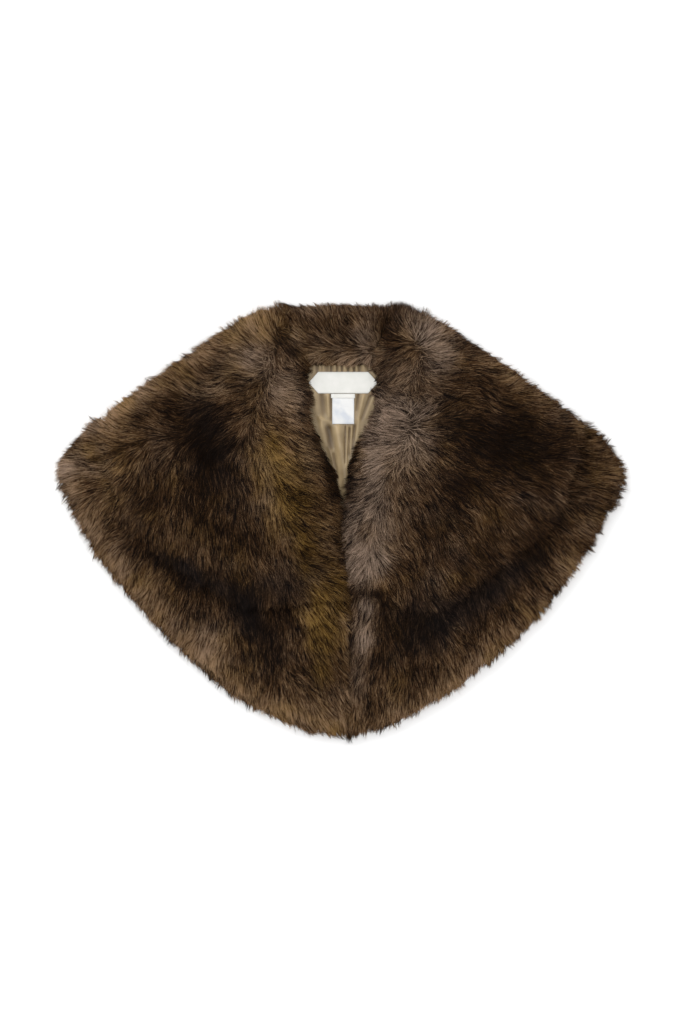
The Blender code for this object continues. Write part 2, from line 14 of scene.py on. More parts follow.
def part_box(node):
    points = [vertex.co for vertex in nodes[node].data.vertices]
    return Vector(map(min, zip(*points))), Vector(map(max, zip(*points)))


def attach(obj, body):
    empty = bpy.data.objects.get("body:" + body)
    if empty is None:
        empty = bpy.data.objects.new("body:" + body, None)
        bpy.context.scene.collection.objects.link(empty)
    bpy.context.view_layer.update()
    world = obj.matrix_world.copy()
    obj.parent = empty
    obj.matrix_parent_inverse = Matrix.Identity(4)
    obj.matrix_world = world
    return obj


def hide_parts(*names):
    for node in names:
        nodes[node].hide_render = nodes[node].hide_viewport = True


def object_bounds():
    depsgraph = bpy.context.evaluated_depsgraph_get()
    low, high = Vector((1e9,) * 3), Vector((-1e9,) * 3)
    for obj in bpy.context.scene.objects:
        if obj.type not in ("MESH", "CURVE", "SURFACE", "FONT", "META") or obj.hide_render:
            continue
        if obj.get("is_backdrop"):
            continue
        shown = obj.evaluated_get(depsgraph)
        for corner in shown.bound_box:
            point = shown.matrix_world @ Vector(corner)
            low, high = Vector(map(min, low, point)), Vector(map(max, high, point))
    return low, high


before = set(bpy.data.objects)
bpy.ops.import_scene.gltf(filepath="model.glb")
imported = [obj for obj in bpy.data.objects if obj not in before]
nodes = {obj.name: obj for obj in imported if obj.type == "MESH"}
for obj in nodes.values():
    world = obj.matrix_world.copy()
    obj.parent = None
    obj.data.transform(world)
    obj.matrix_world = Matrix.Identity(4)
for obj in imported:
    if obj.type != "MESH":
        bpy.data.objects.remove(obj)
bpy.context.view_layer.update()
bpy.ops.object.select_all(action="DESELECT")

# ---------------------------------------------------------------------------------------------
# Ground cloths. Each fur panel is cut from a knitted backing that holds the pile. The cloth lies
# under the pile on the side that shows, and is turned in round the panel's edges, where it is
# sewn to its neighbours.
# ---------------------------------------------------------------------------------------------
MM = 0.001
CLOTH_WALL = 0.0015
CLOTH_SHARE = 0.35
EDGE_INSET = 0.0075
OPENING = (0.05, -0.10, 0.175)
OPENING_REACH = {
    # how far the pile reaches past the neck opening's edge, in millimetres, by y in millimetres
    "collar_left": [
        (-100, -1), (20, -1), (45, 2), (62, 3), (78, -8), (90, -6), (98, -7), (122, -9), (138, 6), (175, 8),
    ],
    "collar_right": [
        (-100, -1), (20, 3), (45, 14), (64, 16), (84, 15), (92, 11), (98, 8), (104, 8), (114, 10), (119, 9),
        (127, 5), (134, 10), (141, 15), (158, 14), (175, 8),
    ],
}
HEM_SHIFTS = [
    # where the whole edge lies further out or in: x, y, its radius and the shift in millimetres
    (-232, -76, 34, -4), (-196, -124, 26, -4), (-82, -226, 26, -4), (150, -190, 26, -2), (90, -222, 30, -5),
    (38, -240, 22, -2), (303, 97, 12, 5), (215, 150, 30, 4), (-300, 97, 14, 4), (-224, 148, 30, 3),
    (-180, 185, 24, 2), (266, 112, 14, 2), (-118, 228, 14, 3), (180, -158, 16, 4), (313, 20, 16, 4),
    (84, 242, 13, 5),
]
OPENING_LIP = 0.002
EDGE_LOOK = 0.008
OUTLINE_STEP = 0.002
UPRIGHT = 0.01
TURNED_IN = -0.25
SAME_PLACE = 1e-5
GROUND_CLOTHS = {
    # panel: side with the pile, depth of the pile, how the cloth is held, cut width, length, area
    "collar_fall": (-1, 0.0038, "laid", 0.550, 0.195, 0.068),
    "body_back": (-1, 0.0062, "laid", 0.675, 0.490, 0.216),
    "body_front_left": (1, 0.0052, "laid", 0.355, 0.490, 0.095),
    "body_front_right": (1, 0.0052, "laid", 0.335, 0.475, 0.088),
    "collar_left": (1, 0.0075, "folded", 0.310, 0.410, 0.084),
    "collar_right": (1, 0.0075, "folded", 0.300, 0.410, 0.080),
    "collar_back": (1, 0.0075, "folded", 0.140, 0.105, 0.012),
}


def active_only(piece):
    """Selects one piece and nothing else."""
    bpy.ops.object.select_all(action="DESELECT")
    bpy.context.view_layer.objects.active = piece
    piece.select_set(True)


def apply_modifier(piece, kind, **settings):
    """Adds a modifier with these settings and applies it."""
    modifier = piece.modifiers.new(kind.lower(), kind)
    for name, value in settings.items():
        setattr(modifier, name, value)
    active_only(piece)
    bpy.ops.object.modifier_apply(modifier=modifier.name)


def points_of(mesh, what="co"):
    """The positions or the normals of a mesh's points, as rows."""
    values = np.empty(3 * len(mesh.vertices), np.float32)
    if what == "co":
        mesh.vertices.foreach_get("co", values)
    else:
        mesh.vertex_normals.foreach_get("vector", values)
    return values.reshape(-1, 3).astype(float)


def triangles_of(mesh):
    """The corners of a mesh's triangles, as rows."""
    mesh.calc_loop_triangles()
    corners = np.empty(3 * len(mesh.loop_triangles), np.int32)
    mesh.loop_triangles.foreach_get("vertices", corners)
    return corners.reshape(-1, 3)


def tree_of(node):
    """A search tree of a panel's solid, for the places that lie over or under it."""
    mesh = nodes[node].data
    return BVHTree.FromPolygons(points_of(mesh).tolist(), triangles_of(mesh).tolist())


solid_trees = {node: tree_of(node) for node in GROUND_CLOTHS}


def unit(vectors):
    """Each row, drawn out or in to a length of one."""
    return vectors / np.maximum(np.linalg.norm(vectors, axis=1, keepdims=True), 1e-9)


def outline_of(node):
    """Places along a panel's outline in plan, 2 mm apart, which way is outwards at each, and
    whether it is open there, with no other fur panel next to it, over or under it."""
    points = points_of(nodes[node].data)
    corners = triangles_of(nodes[node].data)
    a, b, c = (points[corners[:, k]] for k in range(3))
    normal = unit(np.cross(b - a, c - a))
    found = {}
    for i in np.flatnonzero(np.abs(normal[:, 2]) < UPRIGHT):
        for start, end in ((a[i], b[i]), (b[i], c[i]), (c[i], a[i])):
            steps = max(int(math.dist(start[:2], end[:2]) / OUTLINE_STEP), 1)
            for step in range(steps):
                x, y = (start + (end - start) * step / steps)[:2].round(4).tolist()
                found.setdefault((x, y), normal[i])
    places = np.array([(x, y, 0.0) for x, y in found])
    outwards = np.array(list(found.values()))
    others = [solid_trees[other] for other in GROUND_CLOTHS if other != node]
    looked_at = places + EDGE_LOOK * outwards + (0.0, 0.0, 1.0)
    down = (0.0, 0.0, -1.0)
    is_open = [all(tree.ray_cast(place, down)[0] is None for tree in others) for place in looked_at.tolist()]
    return places, outwards, np.array(is_open)


def opening_reach(node, x, y):
    """How far the pile reaches past the neck opening's edge here, or None away from it."""
    if node not in OPENING_REACH or abs(x) > OPENING[0] or not OPENING[1] < y < OPENING[2]:
        return None
    levels, amounts = zip(*OPENING_REACH[node])
    return float(np.interp(y / MM, levels, amounts)) * MM


def hem_shift(x, y):
    """How much further out or in the edge of the pile lies here."""
    return MM * sum(
        shift * math.exp(-((math.hypot(x / MM - at_x, y / MM - at_y) / radius) ** 2))
        for at_x, at_y, radius, shift in HEM_SHIFTS
    )


def search_of(places):
    """A tree that finds the nearest of these places."""
    found = KDTree(len(places))
    for i, place in enumerate(places.tolist()):
        found.insert(place, i)
    found.balance()
    return found


outlines = {node: outline_of(node) for node in GROUND_CLOTHS}
outline_trees = {node: search_of(outlines[node][0]) for node in GROUND_CLOTHS}


def nearest_rim(node, place):
    """For each place, which place of the panel's outline is nearest in plan, and how far it is."""
    hits = [outline_trees[node].find((x, y, 0.0)) for x, y, _ in place.tolist()]
    return np.array([hit[1] for hit in hits]), np.array([hit[2] for hit in hits])


def within_plan(node, place):
    """For each place, whether the panel lies over or under it."""
    down = (0.0, 0.0, -1.0)
    return [solid_trees[node].ray_cast((x, y, 1.0), down)[0] is not None for x, y, _ in place.tolist()]


def normals_on(mesh):
    """The normals of a mesh's points, after its shape has changed."""
    mesh.update()
    return points_of(mesh, "normal")


def ground_cloth(node, side, depth):
    """The side of a panel that carries pile, as a cloth sunk in by the depth of its pile. It comes
    back with the points, normals and triangles that the hairs grow from."""
    mesh = nodes[node].data.copy()
    mesh.name = node + "_cloth"
    cloth = bpy.data.objects.new(mesh.name, mesh)
    bpy.context.collection.objects.link(cloth)
    active_only(cloth)
    bpy.ops.object.mode_set(mode="EDIT")
    bpy.ops.mesh.select_all(action="SELECT")
    bpy.ops.mesh.remove_doubles(threshold=SAME_PLACE)
    bpy.ops.mesh.normals_make_consistent(inside=False)
    bpy.ops.mesh.select_all(action="DESELECT")
    bpy.ops.object.mode_set(mode="OBJECT")
    points = points_of(mesh)
    normals = points_of(mesh, "normal")
    places, outwards, is_open = outlines[node]
    insets = EDGE_INSET * is_open
    for i, (x, y, _) in enumerate(places.tolist()):
        reach = opening_reach(node, x, y)
        if reach is not None:
            insets[i] = max(OPENING_LIP - reach, 0.0)
        elif is_open[i]:
            insets[i] -= min(hem_shift(x, y), 0.0)
    for i, (point, normal) in enumerate(zip(points, normals)):
        if side * normal[2] > TURNED_IN:
            start = point - normal * SAME_PLACE
            wall = solid_trees[node].ray_cast(start.tolist(), (-normal).tolist())[3]
            point = point - normal * (min(depth, CLOTH_SHARE * wall) if wall else 0.0)
        _found, rim, away = outline_trees[node].find((point[0], point[1], 0.0))
        point = point - max(insets[rim] - away, 0.0) * outwards[rim]
        mesh.vertices[i].co = point.tolist()
    for face in mesh.polygons:
        face.select = side * face.normal.z < TURNED_IN
    bpy.ops.object.mode_set(mode="EDIT")
    bpy.ops.mesh.select_mode(type="FACE")
    bpy.ops.mesh.delete(type="FACE")
    bpy.ops.object.mode_set(mode="OBJECT")
    mesh.shade_smooth()
    grown_from = points_of(mesh), normals_on(mesh), triangles_of(mesh)
    apply_modifier(cloth, "SOLIDIFY", thickness=CLOTH_WALL, offset=-1.0)
    return cloth, grown_from


def new_material(name, roughness, **settings):
    """A material with its principled shader's own sockets set, and its node tree."""
    material = bpy.data.materials.new(name)
    material.use_nodes = True
    shader = material.node_tree.nodes["Principled BSDF"]
    shader.inputs["Roughness"].default_value = roughness
    for socket, value in settings.items():
        shader.inputs[socket.replace("_", " ").title().replace("Ior", "IOR")].default_value = value
    return material, material.node_tree, shader


def add_node(tree, kind, values=None, **settings):
    """A node whose settings and input values are given. A value that is a socket is linked."""
    node = tree.nodes.new("ShaderNode" + kind)
    for name, value in settings.items():
        setattr(node, name, value)
    for name, value in (values or {}).items():
        if isinstance(value, bpy.types.NodeSocket):
            tree.links.new(value, node.inputs[name])
        else:
            node.inputs[name].default_value = value
    return node


def add_ramp(tree, source, stops):
    """A colour ramp of (place, colour) stops. A colour may be one number, for a grey."""
    ramp = add_node(tree, "ValToRGB", {"Fac": source})
    elements = ramp.color_ramp.elements
    while len(elements) < len(stops):
        elements.new(0.5)
    for element, (place, colour) in zip(elements, stops):
        element.position = place
        colour = colour if isinstance(colour, tuple) else (colour,) * 3
        element.color = (*colour, 1.0)
    return ramp.outputs["Color"]


def add_mix(tree, factor, first, second, blend="MIX"):
    """A mix of two colours. The factor and each colour may be a value or a socket."""
    node = add_node(tree, "Mix", data_type="RGBA", blend_type=blend)
    for socket, value in ((node.inputs[0], factor), (node.inputs[6], first), (node.inputs[7], second)):
        if isinstance(value, bpy.types.NodeSocket):
            tree.links.new(value, socket)
        else:
            socket.default_value = value if isinstance(value, float) else (*value, 1.0)
    return node.outputs[2]


cloth_finish, tree, shader = new_material("ground_cloth", 0.95, specular_ior_level=0.1)
place = add_node(tree, "TexCoord").outputs["Object"]
knit = add_node(tree, "TexNoise", {"Vector": place, "Scale": 900.0, "Detail": 3.0})
shade = add_ramp(tree, knit.outputs["Fac"], [(0.3, (0.010, 0.006, 0.004)), (0.7, (0.030, 0.019, 0.011))])
bump = add_node(tree, "Bump", {"Strength": 0.6, "Distance": 0.0005, "Height": knit.outputs["Fac"]})
tree.links.new(shade, shader.inputs["Base Color"])
tree.links.new(bump.outputs["Normal"], shader.inputs["Normal"])

cloths = {}
roots = {}
for node, (side, depth, *_cut) in GROUND_CLOTHS.items():
    cloths[node], roots[node] = ground_cloth(node, side, depth)
    cloths[node].data.materials.clear()
    cloths[node].data.materials.append(cloth_finish)

# ---------------------------------------------------------------------------------------------
# Pile. Long, fine hair with dark roots and paler tips, knitted into the ground cloths. It is
# brushed away from the collar's roll and down to the hem, and it parts along the roll. Every
# hair is a narrow tapered blade, and all the hairs of a panel are one piece.
# ---------------------------------------------------------------------------------------------
COMB_REACH = 0.012
LEFT_OUTER_COMB = [
    # x and y in millimetres, heading
    (-90, 238, 100), (-115, 227, 125), (-144, 212, 148), (-184, 181, 148), (-218, 155, 150),
    (-252, 132, 150), (-161, 161, 152), (-121, 184, 165), (-115, 138, 190), (-144, 115, 225),
    (-195, 109, 150), (-240, 104, 145), (-263, 92, 160), (-218, 58, 250), (-252, 35, 235),
    (-184, 58, 262), (-161, 24, 267), (-138, 58, 268), (-206, 0, 255), (-115, 47, 275),
    (-104, 0, 280), (-127, -44, 275), (-172, -44, 265), (-195, -22, 258), (-90, 58, 272),
    (-81, 0, 277), (-75, -44, 280), (-303, 64, 178), (-299, 48, 222), (-272, 79, 165),
    (-264, 62, 226), (-243, 92, 152), (-235, 74, 236), (-218, 104, 150), (-212, 84, 244),
]
LEFT_INNER_COMB = [
    # x and y in millimetres, heading
    (-58, 195, 325), (-58, 160, 348), (-64, 138, 340), (-70, 115, 335), (-58, 92, 330),
    (-47, 58, 325), (-35, 24, 335), (-30, -10, 335), (-24, -44, 333), (-18, -79, 325),
]
RIGHT_OUTER_COMB = [
    # x and y in millimetres, heading
    (88, 242, 74), (92, 224, 66), (111, 210, 35), (106, 189, 5), (125, 163, 355), (99, 156, 340),
    (95, 123, 40), (106, 95, 340), (99, 68, 315), (82, 46, 305), (71, 10, 300),
    (59, -25, 300), (52, -65, 285), (138, 182, 345), (160, 156, 342), (192, 131, 342),
    (228, 108, 342), (262, 88, 345), (158, 116, 345), (194, 104, 345), (229, 81, 345),
    (150, 206, 34), (166, 196, 34), (182, 186, 32), (198, 175, 32), (214, 163, 30), (230, 152, 30),
    (246, 140, 30), (262, 129, 30), (278, 117, 28), (302, 98, 22),
    (264, 68, 348), (135, 68, 330), (170, 57, 335), (205, 46, 330), (241, 33, 325),
    (135, 22, 310), (181, 10, 312), (217, -2, 315), (252, -2, 315), (99, 10, 300),
    (92, -33, 290), (135, -33, 310), (158, -35, 310), (88, -54, 290), (205, -23, 315),
]
RIGHT_INNER_COMB = [
    # x and y in millimetres, heading
    (58, 240, 98), (70, 242, 88), (60, 223, 100), (64, 209, 118), (67, 191, 215), (71, 163, 205),
    (66, 132, 145), (52, 104, 165), (47, 83, 180), (52, 62, 195), (40, 46, 200), (28, 33, 202), (22, 10, 205),
    (17, -25, 205), (7, -47, 215), (22, -62, 225),
]
NECK_COMB = [
    # x and y in millimetres, heading
    (-47, 218, 112), (0, 218, 108), (44, 218, 98), (-47, 203, 128), (-20, 203, 124), (10, 203, 120),
    (40, 203, 112), (-47, 187, 240), (-20, 185, 256), (10, 185, 260), (40, 187, 250),
]
LEFT_FRONT_COMB = [
    # x and y in millimetres, heading
    (-280, 106, 155), (-303, 78, 174), (-315, 52, 190), (-303, 24, 212), (-286, -5, 228),
    (-274, -34, 238), (-251, -68, 243), (-204, -104, 250), (-157, -138, 256), (-135, -185, 262),
    (-100, -196, 275), (-65, -207, 285), (-31, -219, 292), (-42, -185, 296), (-18, -162, 300),
    (-18, -207, 297), (-88, -149, 275), (-115, -113, 270), (-12, -113, 312), (-7, -140, 304),
]
RIGHT_FRONT_COMB = [
    # x and y in millimetres, heading
    (28, -106, 258), (28, -153, 262), (64, -129, 280), (64, -188, 272), (28, -212, 268),
    (99, -164, 280), (135, -164, 288), (135, -117, 290), (181, -129, 295), (217, -93, 298),
    (252, -47, 310), (276, -23, 318), (311, 24, 335), (318, 58, 352), (307, 92, 5),
    (295, 109, 20), (306, 98, 18),
]
UNDER_COMB = [
    # x and y in millimetres, heading
    (0, -230, 270), (0, 50, 270), (-200, -120, 250), (200, -120, 290), (-310, 40, 215),
    (310, 40, 325), (-150, 50, 258), (150, 50, 282), (0, 210, 270), (-230, 110, 248),
    (230, 110, 292),
]
# The partings of the pile, from the neck down: the crest of the roll on each leaf.
LEFT_PARTING = [
    (-66, 218), (-79, 178), (-90, 148), (-96, 124), (-107, 92), (-90, 75), (-75, 47),
    (-70, 12), (-64, -22), (-58, -56), (-54, -90),
]
RIGHT_PARTING = [
    (76, 231), (89, 198), (88, 179), (83, 155), (79, 98), (70, 73), (58, 52), (49, 26),
    (38, 3), (32, -30), (30, -62), (31, -81),
]
# The patches are partly the fur's own patches of colour and partly painted light: painted shade under the
# leaves' lower edges, in the creases and troughs of the rolls and beside the neck opening, and painted
# highlight along the crests of the rolls and at the left tip.
PATCHES = [
    # x, y, half length and half width in millimetres, its turn, paler, golder, greyer,
    # where zeros at the end are left out
    # left leaf
    (-165, 188, 105, 20, 36, 0.28, 0.1),
    (-92, 222, 34, 26, 20, 0.30, 0.2),
    (-110, 178, 22, 18, 0, 0.18, 0.0, 0.4),
    (-64, 212, 20, 7, 95, -0.18),
    (-152, 98, 56, 30, 93, -0.44, 0.0, 0.3),
    (-160, 20, 34, 24, 90, -0.18),
    (-120, 2, 34, 14, -75, -0.16),
    (-275, 88, 46, 30, 25, 0.20, 0.1),
    (-308, 44, 14, 36, 0, 0.26, 0.0, 0.4),
    (-82, 52, 66, 19, 98, 0.28, 0.5, 0.1),
    (-60, 150, 42, 20, 95, 0.16, 0.0, 0.5),
    (-62, 44, 52, 24, -74, 0.04, 0.9),
    (-38, -40, 50, 20, -75, 0.0, 0.8),
    (-4, -20, 26, 4, 92, -0.26), (0, -80, 18, 12, -70, 0.05, 0.6),
    # painted shade along the left leaf's inner edge, where it turns down into the neck opening
    (-10, 50, 62, 9, -72, -0.18),
    (-258, 77, 46, 4, 24, -0.30),
    # painted shadow line at the foot of the left roll's ridge
    (-128, 83, 30, 5, 22, -0.25),
    (-268, -18, 50, 16, -62, 0.24, 0.0, 0.1),
    # left front
    (-212, -30, 30, 14, -50, -0.20),
    (-204, -38, 34, 7, -14, -0.18, 0.0, 0.2), (-146, -66, 36, 8, -30, -0.22, 0.0, 0.3),
    (-108, -106, 34, 12, 90, -0.14, 0.0, 0.3),
    (-172, -60, 30, 16, -35, -0.30, 0.0, 0.7),
    # painted shadow under the left leaf's lower edge, where it overhangs the front
    (-108, -99, 44, 20, -52, -0.40, 0.0, 0.4),
    (-82, -147, 30, 15, -80, -0.24),
    (-205, -105, 120, 15, -44, 0.32, 0.1),
    (-146, -139, 30, 22, -45, 0.34, 0.0, 0.3),
    (-52, -222, 80, 17, -12, 0.34, 0.1),
    (-10, -206, 80, 24, 0, 0.12),
    (-98, -70, 42, 22, -10, -0.12, 0.0, 0.4), (-68, -68, 28, 20, 0, -0.12, 0.0, 0.2),
    (-18, -110, 40, 24, -70, 0.22, 0.9),
    (-26, -155, 34, 14, -80, 0.04, 0.6),
    # stand behind the neck
    (0, 240, 60, 10, 0, 0.18, 0.0, 0.3),
    (0, 187, 46, 9, 0, 0.26, 0.0, 0.2),
    (-57, 196, 9, 12, 20, -0.20),
    (58, 214, 34, 13, 97, -0.26, -0.3), (70, 182, 20, 17, 0, -0.04, -0.6, 0.3),
    # right leaf
    (98, 216, 32, 22, -30, 0.30, 0.0, 0.8),
    # painted highlight, greyish, along the crest of the right roll
    (60, 110, 66, 36, 100, 0.36, 0.0, 1.0),
    (34, -6, 68, 22, 92, 0.32, 0.0, 0.8),
    (10, 60, 60, 7, 103, -0.14, 0.0, 0.3),
    (186, 84, 72, 36, -12, -0.44, 0.1),
    (132, 36, 30, 20, 100, -0.26),
    (100, -4, 26, 14, 100, -0.16),
    (172, 4, 42, 16, -15, 0.06, 0.1),
    (243, 2, 13, 15, 0, -0.22),
    (186, 166, 66, 13, -36, 0.27, 0.0, 0.1),
    (300, 62, 26, 44, 0, 0.16, 0.1), (296, 82, 20, 18, 0, -0.04, -0.6),
    # right front
    (216, -36, 26, 17, 35, -0.32, 0.1),
    (160, -80, 66, 18, 34, -0.38, 0.0, 0.8),
    (82, -122, 36, 30, 0, -0.36, 0.0, 0.5),
    (95, -84, 30, 24, 0, -0.12, 0.0, 0.4), (138, -46, 28, 20, 0, -0.12, 0.0, 0.2),
    (190, 8, 60, 34, 20, -0.06),
    (29, -112, 34, 11, 90, 0.18, 0.0, 0.6), (22, -76, 28, 6, -3, -0.26),
    (26, -81, 25, 5, 3, -0.40), (29, -94, 12, 9, 0, 0.28, 0.0, 0.4),
    (47, -87, 13, 5, -55, -0.34), (11, -241, 9, 8, 0, -0.30, 0.0, 0.2),
    (18, -150, 46, 12, 90, 0.16, 0.0, 0.5),
    (205, -119, 112, 14, 40, 0.29, 0.1),
    (252, -56, 22, 20, 45, 0.24, 0.1),
    (70, -216, 62, 15, 22, 0.30, 0.1),
    # smaller spots, paler
    (-146, 147, 28, 13, 0, 0.18), (-94, 187, 21, 14, 70, 0.24, 0.0, 0.4),
    (-115, 132, 13, 11, 0, 0.14), (-66, 135, 14, 16, 0, 0.15, 0.0, 0.2),
    (-238, 129, 30, 12, 32, 0.24, 0.1), (-283, 104, 14, 12, 30, 0.32, 0.0, 0.3),
    (-284, 60, 24, 20, 0, 0.30, 0.0, 0.3), (-317, 60, 12, 16, 0, 0.40, 0.0, 0.5),
    (-252, -42, 24, 10, -58, 0.18, 0.0, 0.1), (-292, 0, 12, 12, 0, 0.16),
    (-64, 75, 11, 18, 0, 0.14), (18, -50, 30, 15, 90, 0.28, 0.0, 0.9),
    (13, -5, 22, 9, 90, 0.16, 0.0, 0.9), (42, 98, 24, 11, 60, 0.20, 0.0, 0.8),
    (30, 209, 22, 15, 90, 0.26, 0.0, 0.4), (27, 178, 17, 9, 0, 0.20, 0.0, 0.1),
    (-47, 206, 10, 9, 0, 0.24, 0.0, 0.2), (-35, 238, 10, 9, 0, 0.18, 0.0, 0.2),
    (-75, 238, 12, 12, 0, 0.13), (110, 181, 20, 17, 0, 0.30, 0.0, 0.7),
    (110, 220, 10, 10, 0, 0.14, 0.0, 0.1), (176, 184, 9, 9, 0, 0.14),
    (270, 109, 19, 11, -25, 0.18), (318, 50, 10, 12, 0, 0.20),
    (253, -47, 15, 11, 0, 0.22, 0.1), (156, -147, 27, 12, 68, 0.22),
    (124, -158, 20, 8, 90, 0.14), (107, -187, 13, 12, 0, 0.18),
    (31, -130, 12, 13, 0, 0.20, 0.0, 0.2), (-35, -104, 12, 15, 0, 0.16),
    (-109, -193, 16, 11, -25, 0.17), (-132, -176, 12, 9, -30, 0.14),
    (-155, 184, 22, 9, 30, 0.18),
    (-142, 148, 28, 13, 0, 0.18, 0.0, 0.2), (-80, 162, 22, 13, 90, 0.18, 0.0, 0.3),
    (-52, 207, 11, 10, 0, 0.20, 0.0, 0.2), (6, 178, 18, 9, 0, 0.18, 0.0, 0.2),
    (80, 120, 22, 16, 20, 0.16, 0.0, 0.7), (95, 206, 12, 12, 0, 0.14, 0.0, 0.6),
    (-254, 120, 16, 14, 30, 0.20, 0.1), (64, -14, 30, 13, 90, 0.16, 0.0, 0.5),
    (152, -162, 22, 14, 60, 0.20), (-146, -154, 20, 12, -45, 0.16, 0.0, 0.1),
    (-259, 29, 15, 14, 0, 0.14), (6, 206, 30, 9, 0, 0.08, 0.0, 0.2),
    (58, -190, 12, 15, 0, 0.16), (130, -184, 14, 8, 35, 0.16),
    (290, -7, 21, 16, 0, 0.24, 0.0, 0.1), (38, -46, 14, 14, 0, 0.14, 0.0, 0.5),
    (-222, -66, 26, 13, -45, 0.15), (-112, -182, 34, 14, -20, 0.13),
    (-222, 138, 16, 12, 30, 0.10, 0.0, 0.1), (-25, -238, 34, 8, -2, 0.20),
    (38, 62, 24, 13, 100, 0.16, 0.0, 0.7), (-42, 92, 24, 14, 105, 0.23, 0.2, 0.2),
    (95, 84, 18, 13, 90, 0.09, 0.0, 0.2), (243, 56, 26, 10, -20, 0.10),
    # smaller spots, darker
    (57, 145, 22, 10, -40, -0.24),
    (142, 198, 22, 15, -33, -0.26), (172, 150, 26, 15, -30, -0.16),
    (82, 238, 13, 10, 0, -0.18),
    (93, 143, 9, 9, 0, -0.14), (96, 64, 11, 9, 0, -0.14),
    (158, 41, 25, 12, -60, -0.14), (227, -10, 34, 15, 45, -0.14),
    (113, -39, 15, 8, 90, -0.20), (-66, -103, 14, 20, 0, -0.18),
    (-41, -36, 13, 11, 0, -0.14), (-127, -150, 17, 7, -20, -0.14),
    (-166, -164, 17, 9, -42, -0.16), (-243, 70, 15, 7, 15, -0.14),
    (284, 33, 13, 9, 0, -0.14), (249, -84, 18, 11, 45, -0.23),
    (79, -201, 7, 11, 0, -0.18), (39, -218, 11, 9, 0, -0.14),
    (12, -128, 40, 4, 92, -0.30, 0.0, 0.1), (50, 181, 10, 9, 0, -0.14),
    (82, -166, 12, 20, 0, -0.16), (36, -205, 9, 24, 0, -0.15),
    (-122, 32, 26, 24, 0, -0.09, 0.0, 0.2), (24, -128, 20, 14, 60, -0.08),
    (278, 26, 12, 14, 0, -0.14), (-196, 42, 12, 14, 0, -0.12),
]
BASE_TONE = 0.362
PATCH_EDGE = 1.3
TONE_CHANCE = 0.02
HAIR_BANDS = (90.0, 6.0, 0.85)
EDGE_DARKER = 0.13
EDGE_DARK_WIDTH = 0.005
EDGE_DARK_NOISE = (0.03, 0.6)
# Painted shade along the neck opening's edge, where the roll turns down into the opening.
OPENING_PAINTED_SHADE = 0.20
OPENING_SHADE_WIDTH = 0.006
OPENING_SHADE_FROM = 0.02
MOTTLES = [
    # size of the spots in metres, paler, golder, greyer
    (0.045, 0.14, 0.60, 0.36), (0.018, 0.13, 0.42, 0.30), (0.007, 0.06, 0.0, 0.0),
]
FLOW_NOISE = [
    # size of the swirls in metres, how far they turn the pile in degrees
    (0.035, 26.0), (0.013, 20.0),
]
PILES = {
    # panel: hairs, their length and width, the seed of their chance
    "collar_fall": (34000, 0.016, 0.00085, 11),
    "body_back": (62000, 0.018, 0.00085, 12),
    "body_front_left": (64000, 0.018, 0.00050, 13),
    "body_front_right": (61000, 0.018, 0.00050, 14),
    "collar_left": (94000, 0.020, 0.00050, 15),
    "collar_right": (91000, 0.020, 0.00050, 16),
    "collar_back": (23000, 0.019, 0.00050, 17),
}
COVERED_BY = {
    "collar_fall": ("body_back",),
    "body_back": ("collar_fall",),
    "body_front_left": ("collar_left", "collar_right"),
    "body_front_right": ("collar_left", "collar_right"),
}
HAIRS_PER_LOCK = 240
HAIRS_PER_TUFT = 16
HAIRS_PER_STRAND = 2
GUARD_SHARE = 0.17
GUARD_LONGER = 1.2
GUARD_SHADE = 0.10
WOOL_SHADE = (0.30, 0.72)
STRAND_SHADE = (0.18, 0.82)
SPARE_ROOTS = 3
LOOK_AHEAD = 0.010
LOCK_SWING = 6.0
TUFT_SWING = 3.0
HAIR_SWING = 5.0
HAIR_CURL = 0.05
HAIR_LENGTHS = (0.72, 0.5, 0.08)
DOWNHILL = 0.35
SETTLED = 0.05
PARTING_BLEND = 0.014
PARTING_NOISE = 0.006
PARTING_SLOPE = 4.0
PARTING_DOWN = 0.35
TUFT_PULL = (0.03, 0.10)
TUFT_FAN = (0.8, 0.25)
GUARD_PULL = (0.55, 0.75)
EDGE_PULL = 0.45
EDGE_WIDTH = 0.010
LIFT = (30.0, 10.0)
LIFT_CHANCE = (3.5, 4.0, 3.0)
END_LIFT_CHANCE = (4.0, 5.0, 3.0)
BLADE_TILT = 28.0
BEND_SHARE = 0.45
FLOOR_CLEAR = 0.0005
OUTER_REACH = (-0.0060, 0.0062)
LAP_REACH = (0.0060, 0.0080)
OPENING_CHANCE = 0.0045
OPENING_BLEND = 0.013
OPENING_SHORT = 0.003
ROOT_MOVED = 0.6
STAND_REACH = (0.0026, 0.0012)
HEM_WAVES = (0.013, 0.0050)
GUARD_REACH = 0.0035
REACH_CHANCE = (0.65, 0.5, 0.55)
MOST_REACH = 2.4
HANG = 0.45
BEND_BLEND = (0.52, 0.48)
LEAST_RISE = 0.55
WISP_SHARES = (0.3, 0.7)
WISPS = [
    # where a wisp of pile stands out past the edge: x, y, its radius and its reach in millimetres
    (11, -246, 7, 6), (-70, 247, 9, 5), (43, 249, 8, 4), (-118, 230, 8, 3), (-318, 88, 10, 3),
    (96, 240, 8, 3), (-150, -190, 9, 3), (130, -205, 9, 3), (318, 34, 16, 5), (-262, -78, 9, 3),
    (238, -118, 16, 4), (262, 140, 16, 3), (-248, 112, 14, 4), (50, -236, 14, 3),
]


